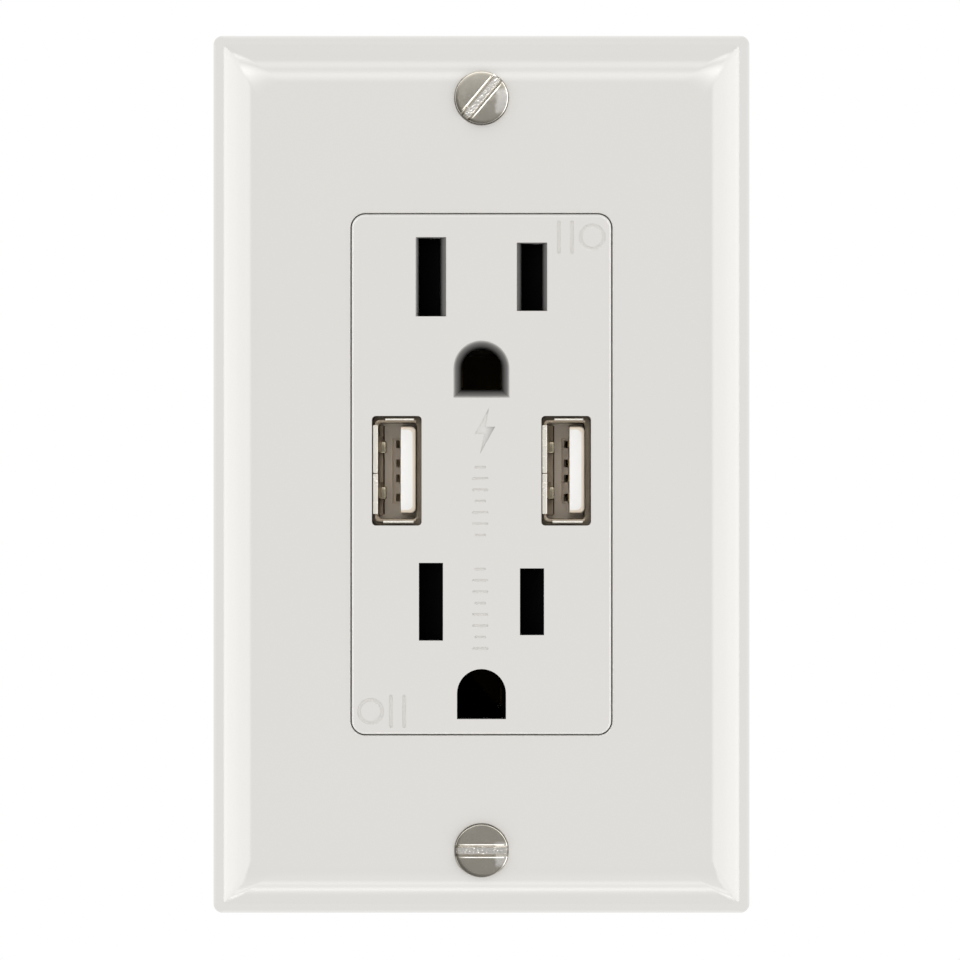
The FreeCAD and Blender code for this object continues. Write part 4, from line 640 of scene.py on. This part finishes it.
def makePlate(p):
    piece = gridPiece("coverPlate", ringStack(plateRows(p)), closed=True)
    top, inside = p["depth"], p["depth"] - p["wall"]
    boss = [(p["bossRadius"], p["bossBack"]), (p["bossRadius"], inside + p["bossInto"])]
    for side in (-1, 1):
        carve(piece, turnedPiece("boss", boss, (0, p["screwUp"] * side), p["bossAround"]), "UNION")
        for end in (-1, 0, 1):
            x = sorted(side * rib for rib in p["ribX"])
            up = span(p["screwUp"] / 2 * end, -p["ribHalf"], p["ribHalf"])
            carve(piece, blockPiece("rib", x, up, p["ribLevels"]), "UNION")
    e, s = p["sinkRound"], p["sinkRadius"]
    sink = [(p["holeRadius"], -1), (p["holeRadius"], top - p["sinkDepth"]), (s, top - e)]
    sink += roundEdge(s, top, -e, e, np.linspace(*p["sinkTurn"], 5)) + [(s + e, top + 1)]
    for side in (-1, 1):
        carve(piece, turnedPiece("sink", sink, (0, p["screwUp"] * side), p["sinkAround"]))
    smoothed(piece, p["smooth"])
    place(piece, "white_gloss", "wall_plate")


makePlate(plate)
print("wall plate made")


# Face cover with its recessed marks

marks = {
    "levels": (5.7, 6.4),            # from the grooves' floor to in front of the insert's face
    "line": 0.46, "soft": 0.1,
    "corner": (12.55, 30.5),         # middle of the mark at the top right; the other is turned round
    "bars": (-2.6, -0.9), "barHalf": 1.9, "ring": (1.7, 1.5),     # x of bars and ring, the ring's radius
    "bolt": (0.45, 5.6),
    "zigzag": ((0.5, 2.9), (-1.3, -0.4), (-0.1, -0.4), (-0.6, -2.9), (1.3, 0.5), (0.1, 0.5)),
    "dashes": (-0.15, 0.9, -22.4),   # x, first and last height of the row of dashes
    "dashCount": 17, "dashGap": (7, 8), "dashHalf": (0.55, 0.85, 0.85), "dashLine": 0.36,
}

# Painted shade: the openings' walls are darkened from just under the face to the back of the front wall.
coverShade = {
    "darkness": ((-5.89, -5.8, -5.1, -4.4, -0.6, 0.4), (0.0, 0.3, 0.8, 1.0, 1.0, 0.0)),   # against y
    # right of each opening's middle, from a height up and in front of a depth, a share is left
    "litMiddles": (-6.5, 0.0, 6.5), "litReach": (0.5, 3.4), "litFrom": 8.0, "litBack": -4.0, "litShare": 0.42,
    "ports": (7.0, 0.45, 7.6, 0.94),     # distance from the middle, height, half height, share left
    # the row of marks, the corner marks and the cover's sides are left light
    "row": (1.6, -23.6, 9.0), "corners": (9.0, 27.0), "sides": (16.0, -32.6, 32.5),
}


def strokeCutter(a, b, width, levels):
    # a straight groove from a to b with round ends
    a, b = np.array(a, float), np.array(b, float)
    along = math.atan2(b[1] - a[1], b[0] - a[0])
    turn = along + np.linspace(-np.pi / 2, np.pi / 2, 7)
    end = width / 2 * np.stack([np.cos(turn), np.sin(turn)], -1)
    return prism("stroke", np.concatenate([b + end, a - end]), levels)


def ringCutter(centre, radius, width, levels):
    turn = np.linspace(0, 2 * np.pi, 40, endpoint=False)
    low, high = levels
    inner, outer = radius - width / 2, radius + width / 2
    shape = [(inner, high), (inner, low), (outer, low), (outer, high)]
    grid = [toRow(centre[0] + r * np.cos(turn), centre[1] + r * np.sin(turn), level) for r, level in shape]
    return gridPiece("ringCutter", np.array(grid), closed=True)


def markCutters(m):
    levels, line = m["levels"], m["line"]
    x, up = m["corner"]
    reach, radius = m["ring"]
    cutters = []
    for way in (1, -1):      # a pair of bars and a ring: a socket's face in small
        for bar in m["bars"]:
            a, b = [((x + bar) * way, height * way) for height in span(up, -m["barHalf"], m["barHalf"])]
            cutters.append(strokeCutter(a, b, line, levels))
        cutters.append(ringCutter(((x + reach) * way, up * way), radius, line, levels))
    cutters.append(prism("bolt", np.array(m["zigzag"]) + m["bolt"], levels))
    x, first, last = m["dashes"]
    for i, height in enumerate(np.linspace(first, last, m["dashCount"])):
        if i not in m["dashGap"]:
            half = m["dashHalf"][i % 3]
            cutters.append(strokeCutter((x - half, height), (x + half, height), m["dashLine"], levels))
    return joined("markCutters", cutters)


def shadeCover(piece, c):
    x, y, z = (pointsOf(piece) / mm).T
    shade = np.interp(y, *c["darkness"])
    near, far = c["litReach"]
    fromMiddle = np.min([np.where(abs(x - m) < far, x - m, np.inf) for m in c["litMiddles"]], 0)
    lit = (fromMiddle > near) & (fromMiddle < far) & (z > c["litFrom"]) & (y < c["litBack"])
    shade = np.where(lit, shade * c["litShare"], shade)
    beyond, middle, half, share = c["ports"]
    shade = np.where((abs(x) > beyond) & (abs(z - middle) < half), shade * share, shade)
    half, low, high = c["row"]
    plain = (abs(x) < half) & (z > low) & (z < high)
    plain |= (abs(x) > c["corners"][0]) & (abs(z) > c["corners"][1])
    half, low, high = c["sides"]
    plain |= (abs(x) > half) | (z > high) | (z < low)
    giveShade(piece, np.where(plain, 0.0, shade))


faceCover = weldedCopy("socketFace", "face_cover")
carve(faceCover, markCutters(marks))
soften(faceCover, marks["soft"])
shadeCover(faceCover, coverShade)
smoothed(faceCover)
place(faceCover, "white_gloss", "face_cover", finish="socketWhite")


# Lead-ins of the upper outlet: slopes from the face into its openings

leadIns = {
    "front": 5.78, "lip": 4.6, "lipDepth": 0.2, "back": 4.35,     # levels
    "behind": 0.08,                              # how far the back reaches into the opening's wall
    "rows": 9, "middle": 25.4,
    # x of the slot's wall, half height, which way the wall faces, start, how far it comes in
    "slots": {"leadInLeft": (-4.95, 5.03, -1, 0.38, 0.4), "leadInRight": (8.05, 4.33, -1, 0.38, 0.25),
              "leadInMiddle": (4.95, 4.33, 1, 0.38, 0.25)},
    "slotShade": ((0, 0.15, 0.55, 0.8, 1), (0.62, 0.7, 0.78, 0.93, 1.0)),
    "ground": (0.0, 13.6, 3.15, 3.3, 0.41, 0.6),   # x, height, radius, flat, start, how far it comes in
    "groundShade": ((0, 0.13, 0.25, 0.38, 0.5, 0.62, 0.75, 0.88, 1),
                    (0.2, 0.52, 0.7, 0.76, 0.81, 0.86, 0.92, 0.97, 1.0)),
}


def slopeRows(c, start, inward, shades):
    # from the edge at the face down a straight slope to the lip, then back into the wall
    share = np.linspace(0, 1, c["rows"])
    offset = np.concatenate([start - (start + inward) * share, [-inward, c["behind"]]])
    slope = c["front"] + (c["lip"] - c["front"]) * share
    level = np.concatenate([slope, [c["lip"] - c["lipDepth"], c["back"]]])
    return offset, level, np.append(np.interp(share, *shades), [1, 1])


def placeLeadIn(piece, shade):
    giveShade(piece, shade)
    smoothed(piece)
    place(piece, "white_gloss", finish="socketWhite")


def makeLeadIns(c):
    for name, (wall, half, way, start, inward) in c["slots"].items():
        # a wedge carried up along the slot's side
        offset, level, shade = slopeRows(c, start, inward, c["slotShade"])
        height = c["middle"] + np.array([-half, half])[:, None]
        piece = gridPiece(name, toRow(wall - way * offset, height, level))
        placeLeadIn(piece, np.tile(shade, len(height)))
    # the ground hole's funnel: its outline, a half circle over straight sides, drawn in down the slope
    x, up, radius, flat, start, inward = c["ground"]
    offset, level, shade = slopeRows(c, start, inward, c["groundShade"])
    turn = np.linspace(0, np.pi, 40)
    reach = radius + offset[:, None]
    across = np.concatenate([reach * np.cos(turn), -reach, reach], 1)
    low = -flat - offset[:, None]
    height = np.concatenate([reach * np.sin(turn), low, low], 1)
    funnel = gridPiece("leadInGround", toRow(x + across, up + height, level[:, None]), closed=True)
    placeLeadIn(funnel, np.repeat(shade, across.shape[1]))


makeLeadIns(leadIns)
print("face cover made")


# Screws

thread = {"radius": 1.75, "pitch": 0.794, "depth": 0.34, "rows": 9, "around": 28,
          "flank": (1.15, 1.45), "tip": 0.45}


def aboutUp(radius, level, angle):
    # a grid of points round the upright axis through the origin: one row for each level
    x, y, z = np.broadcast_arrays(radius * np.cos(angle), radius * np.sin(angle), level[:, None])
    return np.stack([x, y, z], -1) * mm


def threadedShank(name, start, end, t):
    # radius over angle and depth: a ridge that winds round once for each pitch, fading at both ends
    level = np.linspace(start, end, int(abs(end - start) / t["pitch"] * t["rows"]) + 2)
    angle = np.linspace(0, 2 * np.pi, t["around"], endpoint=False)
    phase = (level[:, None] / t["pitch"] - angle[None, :] / (2 * np.pi)) % 1.0
    high, steep = t["flank"]
    winding = np.clip(high - np.abs(phase * 2 - 1) * steep, 0, 1)
    fade = np.clip(np.minimum(abs(level - start), abs(end - level)) / t["pitch"], 0, 1)[:, None]
    radius = t["radius"] - t["depth"] + t["depth"] * winding * fade
    radius[-1] = t["radius"] * t["tip"]
    return gridPiece(name, aboutUp(radius, level, angle))


def slotCutter(s, columns=90, rows=12):
    # a long trough whose bottom is a grid with small random heights, as a saw leaves it, and whose
    # sides lean outwards
    halfWidth, floor, top = s["slot"] / 2, s["floor"], s["top"] + 1
    x = np.linspace(-s["reach"], s["reach"], columns)
    y = np.linspace(-halfWidth, halfWidth, rows)
    dice = np.random.default_rng(s["seed"])
    height = floor + s["rough"] * dice.standard_normal((rows, columns))
    height[0], height[-1], height[:, 0], height[:, -1] = floor, floor, floor, floor
    bottom = np.stack([*np.meshgrid(x, y), height], -1).reshape(-1, 3)
    a = np.arange(rows * columns).reshape(rows, columns)
    faces = np.stack([a[:-1, :-1], a[1:, :-1], a[1:, 1:], a[:-1, 1:]], -1).reshape(-1, 4).tolist()
    edge = np.array([*a[0, :], *a[1:, -1], *a[-1, -2::-1], *a[-2:0:-1, 0]])
    upper = bottom[edge] * (1, 1 + s["lean"] * (top - floor) / halfWidth, 0) + (0, 0, top)
    above = len(bottom) + np.arange(len(edge))
    faces += np.stack([edge, np.roll(edge, -1), np.roll(above, -1), above], -1).tolist()
    faces.append(above.tolist())
    cutter = meshOf("slotCutter", np.concatenate([bottom, upper]) * mm, faces)
    outward(cutter)
    return cutter


def ridge(s, offset):
    # half a round bar beside the slot: a half circle carried along the slot's edge, lower at its ends
    turn = np.linspace(0, np.pi, 9)
    ends = np.linspace(-1, 1, 12)[:, None]
    reach = ends * s["ridgeReach"] + 0 * turn
    across = offset + s["ridgeWidth"] / 2 * np.cos(turn) + 0 * reach
    up = s["ridgeLevel"] + s["ridgeWidth"] / 2 * np.sin(turn) * np.sqrt(np.clip(1.02 - ends ** 8, 0, 1))
    return gridPiece("ridge", np.stack([reach, across, up], -1) * mm)


def shadeHead(piece, x, y, z, s):
    # painted shade: darker in a crescent along the head's lower left rim, by how far a point lies from a middle
    # that is moved up and to the right, and on all below the head; painted highlights: lighter on a patch at
    # its right, on the ridges and in the slot
    x, y, z = x / mm, y / mm, z / mm
    away = np.hypot(x - s["shadeFrom"][0], y - s["shadeFrom"][1])
    dark = np.clip((away - s["shadeStart"]) / s["shadeWidth"], 0, 1)
    right, low, high = s["patch"]
    fadeAcross, fadeUp = s["patchFade"]
    light = np.clip((x - right) / fadeAcross, 0, 1) * np.clip((y - low) / fadeUp, 0, 1)
    light = s["patchLight"] * light * np.clip((high - y) / fadeUp, 0, 1) * (z > s["patchLevel"])
    light = np.where(z > s["crestLevel"], 1.0, light)
    level, reach, much = s["slotLight"]
    light = np.where((z > 0) & (z < level) & (np.hypot(x, y) < reach), much, light)
    giveShade(piece, np.where(z < 0, 1.0, dark - light))


def makeScrew(name, s):
    # a head turned from its profile with a sawn slot, over a threaded shank, made upright at the origin
    radius, level = np.array(s["profile"]).T
    angle = np.linspace(0, 2 * np.pi, 72, endpoint=False)
    head = gridPiece(name + "Head", aboutUp(radius[:, None], level, angle))
    carve(head, slotCutter(s))
    soften(head, s["round"], 38.0, 3)
    ridges = [ridge(s, offset) for offset in s.get("ridges", ())]
    piece = joined(name, [head, threadedShank(name + "Shank", s["start"], s["end"], thread)] + ridges)
    turn = math.radians(s["angle"])
    x, y, z = pointsOf(piece).T
    x, y = x * math.cos(turn) - y * math.sin(turn), x * math.sin(turn) + y * math.cos(turn)
    if "shadeFrom" in s:
        shadeHead(piece, x, y, z, s)
    facing = {"front": (x, -z, y), "right": (z, x, y), "left": (-z, -x, y)}
    setPoints(piece, np.stack(facing[s["facing"]], -1) + np.array(s["at"]) * mm)
    smoothed(piece, 34.0)
    place(piece, s.get("slotName", s["finish"]), s["node"], finish=s["finish"])


def dishHead(d):
    # nearly flat, with a small round where the top turns down to the rim
    turn = np.linspace(0, np.pi / 2, 6)
    edge = roundEdge(d["rim"], d["crown"] - d["edgeDrop"], d["round"], d["round"], turn)
    top = [(r, d["crown"] - d["fall"] * (r / d["rim"]) ** 2) for r in d["radii"]]
    return [(d["neck"], -d["sink"]), (d["rim"], d["rimLevel"])] + edge + top


def panHead(rim, height, across=0.55, down=0.75, dome=(0.03, 0.04), tip=0.02):
    edge = roundEdge(rim, height, across, down, np.linspace(0, np.pi / 2, 7))
    return [(rim, 0.0)] + edge + [(rim * 0.5, height + dome[0]), (tip, height + dome[1])]


dish = {"rim": 3.4, "rimLevel": -0.05, "crown": 0.70, "fall": 0.055, "sink": 1.7, "neck": 1.7,
        "round": 0.09, "edgeDrop": 0.06, "radii": (3.12, 2.9, 2.6, 2.2, 1.8, 1.3, 0.8, 0.3, 0.02)}
plateHead = dict(profile=dishHead(dish), slot=0.76, reach=4.2, floor=0.22, top=0.75, round=0.05,
                 rough=0.0085, lean=0.8, start=-1.65, end=-12.0, finish="plateNickel", slotName="nickel",
                 facing="front", ridges=(-0.82, 0.82), ridgeReach=3.1, ridgeWidth=0.2, ridgeLevel=0.62,
                 shadeFrom=(0.3, 0.25), shadeStart=3.24, shadeWidth=0.28,
                 patch=(1.75, -2.2, 1.3), patchFade=(0.15, 0.5), patchLevel=0.6, patchLight=0.8,
                 crestLevel=0.705, slotLight=(0.3, 3.3, 0.7))
wireHead = dict(profile=panHead(3.5, 2.3), slot=1.15, reach=4.0, floor=1.2, top=2.4, round=0.1,
                rough=0.02, lean=0.0, start=0.05, end=-5.0)
boxHead = dict(wireHead, profile=panHead(3.5, 1.9), floor=1.0, top=2.0, end=-23.0, finish="zinc_steel",
               facing="front")

screws = {
    "plateScrewUpper": dict(plateHead, at=(0, -plate["depth"], plate["screwUp"]), angle=50.0, seed=3,
                            node="plate_screw_upper"),
    "plateScrewLower": dict(plateHead, at=(0, -plate["depth"], -plate["screwUp"]), angle=0.0, seed=4,
                            rough=0.0125, node="plate_screw_lower"),
    "boxScrewUpper": dict(boxHead, at=(0, -1.2, 41.67), angle=20.0, seed=5, node="box_screw_upper"),
    "boxScrewLower": dict(boxHead, at=(0, -1.2, -41.67), angle=75.0, seed=6, node="box_screw_lower"),
    "groundScrew": dict(wireHead, at=(-22.35, 5.6, -26.0), angle=35.0, seed=7, facing="left",
                        finish="green_screw", node="ground_screw"),
}
for pole, hand, metal in (("hot", 1, "brass_screw"), ("neutral", -1, "zinc_steel")):
    for end, side in (("Upper", 1), ("Lower", -1)):
        screws[f"{pole}Screw{end}"] = dict(
            wireHead, at=(18.0 * hand, 12.8, 14.0 * side), angle=25.0 + 40 * side, seed=11 + hand + side,
            facing="right" if hand > 0 else "left", finish=metal,
            node=f"{pole}_terminal_screw_{end.lower()}")
for name, s in screws.items():
    makeScrew(name, s)
print(len(screws), "screws made")


# Charging ports

port = {
    "middle": {"Left": -10.9, "Right": 10.9}, "up": 0.45,
    "clear": (3.5, 7.4, 7.0),     # half width, half height and front of what is cut off a port's front
    "shellEnd": 4.7,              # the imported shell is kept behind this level, its right side behind the next
    "rightEnd": 1.6, "rightFrom": 2.46,
    "leftLip": (-3.08, -2.45), "leftRuns": ((-5.56, -0.39), (-0.27, 5.87)), "leftLevels": (4.4, 5.4),
    "endLips": ([(-1.5, 6.62), (2.2, 6.62)], [(-1.75, -6.58), (2.15, -6.58)]), "lipWide": (0.26, 0.34),
    "endLevels": (4.2, 5.3),
    # the folded sheet deeper in, all in tin darkened as painted shade: beside the tongue, at the right, and a
    # collar round the opening
    "fold": (-2.5, -5.8, 6.0), "foldLevels": (-2.6, -0.9), "foldEdge": {"Left": -1.92, "Right": -1.5},
    "fill": (2.46, 3.12, -6.3, 6.7), "fillLevels": (-2.6, 1.5),
    "collar": (3.2, 7.1, 2.5, 6.2), "collarCorner": 0.5, "collarLevels": (1.3, 2.3),
    "seam": 0.14, "seamRun": (-5.7, 5.9), "seamLevels": (-2.6, -2.3),
    "tab": (-2.45, -1.45), "tabRuns": ((2.28, 3.85), (-3.73, -2.03)), "tabLevels": (-1.0, 2.12),
    "floor": -5.6, "lifted": (5.4, 8.4), "lift": 3.2,      # the base's floor: level, depths moved, how far
    "well": {"Left": (-0.75, -0.3), "Right": (-0.41, -0.05)}, "wellRight": 0.49,     # x: well, notches
    "wellHalf": 4.3, "wellDeep": 1.3, "rows": (-3.5, -1.0, 1.0, 3.5), "notchHalf": 0.5, "notchDeep": 4.4,
    "tongue": (0.49, 2.41, -5.45, 5.72), "tongueCorner": (0.62, 0.06), "tongueDark": 0.4,
    "tongueRows": ((0.0, -2.7), (0.0, 3.9), (0.03, 4.04), (0.1, 4.15), (0.2, 4.19), (0.36, 4.2), (0.46, 4.2)),
}


def frontCutter(x, left, level, p):
    # a port's whole front, from the level out and from left to its right
    wide, tall, end = p["clear"]
    return blockPiece("front", span(x, left, wide), span(p["up"], -tall, tall), (level, end))


def makeShell(hand, x, p):
    node = "usb_shell_" + hand.lower()
    shell = weldedCopy("portShell" + hand, node)
    carve(shell, frontCutter(x, -p["clear"][0], p["shellEnd"], p))
    carve(shell, frontCutter(x, p["rightFrom"], p["rightEnd"], p))
    # the shell's tin is darkened as painted shade
    eased(shell, 0.05, "tin_steel", node, finish="shadedTin")


def lipPiece(x, path, width, levels, p):
    # a folded sheet's edge: a section with a round top, carried along a path on the port's face
    path = np.array(path, float)
    along = np.gradient(path, axis=0)
    along /= np.linalg.norm(along, axis=1)[:, None]
    side = np.stack([-along[:, 1], along[:, 0]], -1)[:, None, :]
    turn = np.linspace(0, np.pi, 9)
    e = width / 2
    bottom, top = levels
    across = np.concatenate([[e], e * np.cos(turn), [-e]])
    level = np.concatenate([[bottom], top - e + e * np.sin(turn), [bottom]])
    spots = path[:, None, :] + side * across[:, None]
    return gridPiece("lip", toRow(spots[..., 0] + x, spots[..., 1] + p["up"], level))


def makeLips(hand, x, p):
    name = "portLip" + hand
    left = span(x, *p["leftLip"])
    runs = [blockPiece("lip", left, span(p["up"], *run), p["leftLevels"]) for run in p["leftRuns"]]
    runs = joined(name, runs)
    soften(runs, 0.09, segments=3)
    ends = [lipPiece(x, path, width, p["endLevels"], p) for path, width in zip(p["endLips"], p["lipWide"])]
    edges = joined(name, [runs, *ends])
    smoothed(edges, 40.0)
    # the lips' tin is lightened as painted highlight
    place(edges, "tin_steel", finish="highlightTin")


def makeFold(hand, x, p):
    up, edge = p["up"], p["foldEdge"][hand]
    left, low, high = p["fold"]
    fold = blockPiece("fold", span(x, left, edge), span(up, low, high), p["foldLevels"])
    left, right, low, high = p["fill"]
    fill = blockPiece("fill", span(x, left, right), span(up, low, high), p["fillLevels"])
    wide, tall, inWide, inTall = p["collar"]
    back, front = p["collarLevels"]
    rows = [(wide, tall, front), (inWide, inTall, front), (inWide, inTall, back), (wide, tall, back)]
    rows = ringStack([(w, h, p["collarCorner"], level) for w, h, level in rows])
    collar = gridPiece("collar", rows + (x * mm, 0, up * mm), closed=True)
    fold = joined("portFold" + hand, [fold, fill, collar])
    eased(fold, 0.1, "tin_steel", angle=32.0, finish="shadedTin")
    across, upright = span(x + edge, 0, p["seam"]), span(up, *p["seamRun"])
    seam = blockPiece("portSeam" + hand, across, upright, p["seamLevels"])
    soften(seam, 0.04)
    place(seam, "black_nylon")


def makeTabs(hand, x, p):
    across = span(x, *p["tab"])
    tabs = [blockPiece("tab", across, span(p["up"], *run), p["tabLevels"]) for run in p["tabRuns"]]
    eased(joined("portTabs" + hand, tabs), 0.22, "tin_steel", segments=4, angle=32.0, finish="tabTin")


def makeBase(hand, x, p):
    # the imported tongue's base with its floor brought forward, and its well and notches
    node = "usb_tongue_" + hand.lower()
    base = weldedCopy("portBase" + hand, node)
    carve(base, frontCutter(x, -p["clear"][0], p["floor"], p))
    points = pointsOf(base)
    low, high = p["lifted"]
    inner = (points[:, 1] > low * mm) & (points[:, 1] < high * mm)
    points[:, 1] -= np.where(inner, p["lift"] * mm, 0.0)
    setPoints(base, points)
    level = p["floor"] + p["lift"]
    well, notch = [span(x, left, p["wellRight"]) for left in p["well"][hand]]
    upright = span(p["up"], -p["wellHalf"], p["wellHalf"])
    carve(base, blockPiece("well", well, upright, (level - p["wellDeep"], level + 1)))
    for row in p["rows"]:
        upright = span(p["up"] + row, -p["notchHalf"], p["notchHalf"])
        carve(base, blockPiece("notch", notch, upright, (level - p["notchDeep"], level)))
    # its beige finish is painted warm bounced light
    eased(base, 0.05, "white_insulator", node, finish="beigeBase")


def makeTongue(hand, x, p):
    # rings of a rounded outline; towards the front its right side and both ends draw in, its left stays
    left, right, low, high = p["tongue"]
    wide, small = p["tongueCorner"]
    grid = []
    for draw, level in p["tongueRows"]:
        corners = ((right - draw, high - draw, wide, 1, 1), (left, high - draw, small, -1, 1),
                   (left, low + draw, small, -1, -1), (right - draw, low + draw, wide, 1, -1))
        row = []
        for quarter, (cx, cu, r, signX, signUp) in enumerate(corners):
            turn = np.linspace(0, np.pi / 2, 8) + quarter * np.pi / 2
            spots = cx - signX * r + r * np.cos(turn) + x, cu - signUp * r + r * np.sin(turn) + p["up"]
            row.append(toRow(*spots, level))
        grid.append(np.concatenate(row))
    tongue = gridPiece("portTongue" + hand, np.array(grid))
    # painted shade: all but the front face takes the beige, so the rounded rim shows darker
    giveShade(tongue, np.repeat([draw <= p["tongueDark"] for draw, level in p["tongueRows"]], len(grid[0])))
    smoothed(tongue, 40.0)
    place(tongue, "white_insulator", finish="tongueWhite")


for hand, x in port["middle"].items():
    for make in (makeShell, makeLips, makeFold, makeTabs, makeBase, makeTongue):
        make(hand, x, port)
print("ports made")


# Pieces that only need their edges rounded

easedPieces = {
    "strap": ("mounting_strap", "zinc_steel", 0.12),
    "rearCase": ("rear_housing", "thermoset", 0.18),
}
for name, (node, slotName, width) in easedPieces.items():
    eased(weldedCopy(name, node), width, slotName, node)
print(len(easedPieces), "pieces eased")


# Shutter springs, which shorten as the shutters open; here they are only welded, smoothed and placed

springs = {"travel": 3.6, "smooth": 40.0}
for end in ("Upper", "Lower"):
    node = "shutter_spring_" + end.lower()
    spring = weldedCopy("spring" + end, node)
    smoothed(spring, springs["smooth"])
    place(spring, "spring_steel", node)
    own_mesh(spring)
print("springs made")


# Bring the scene up to date

bpy.context.view_layer.update()
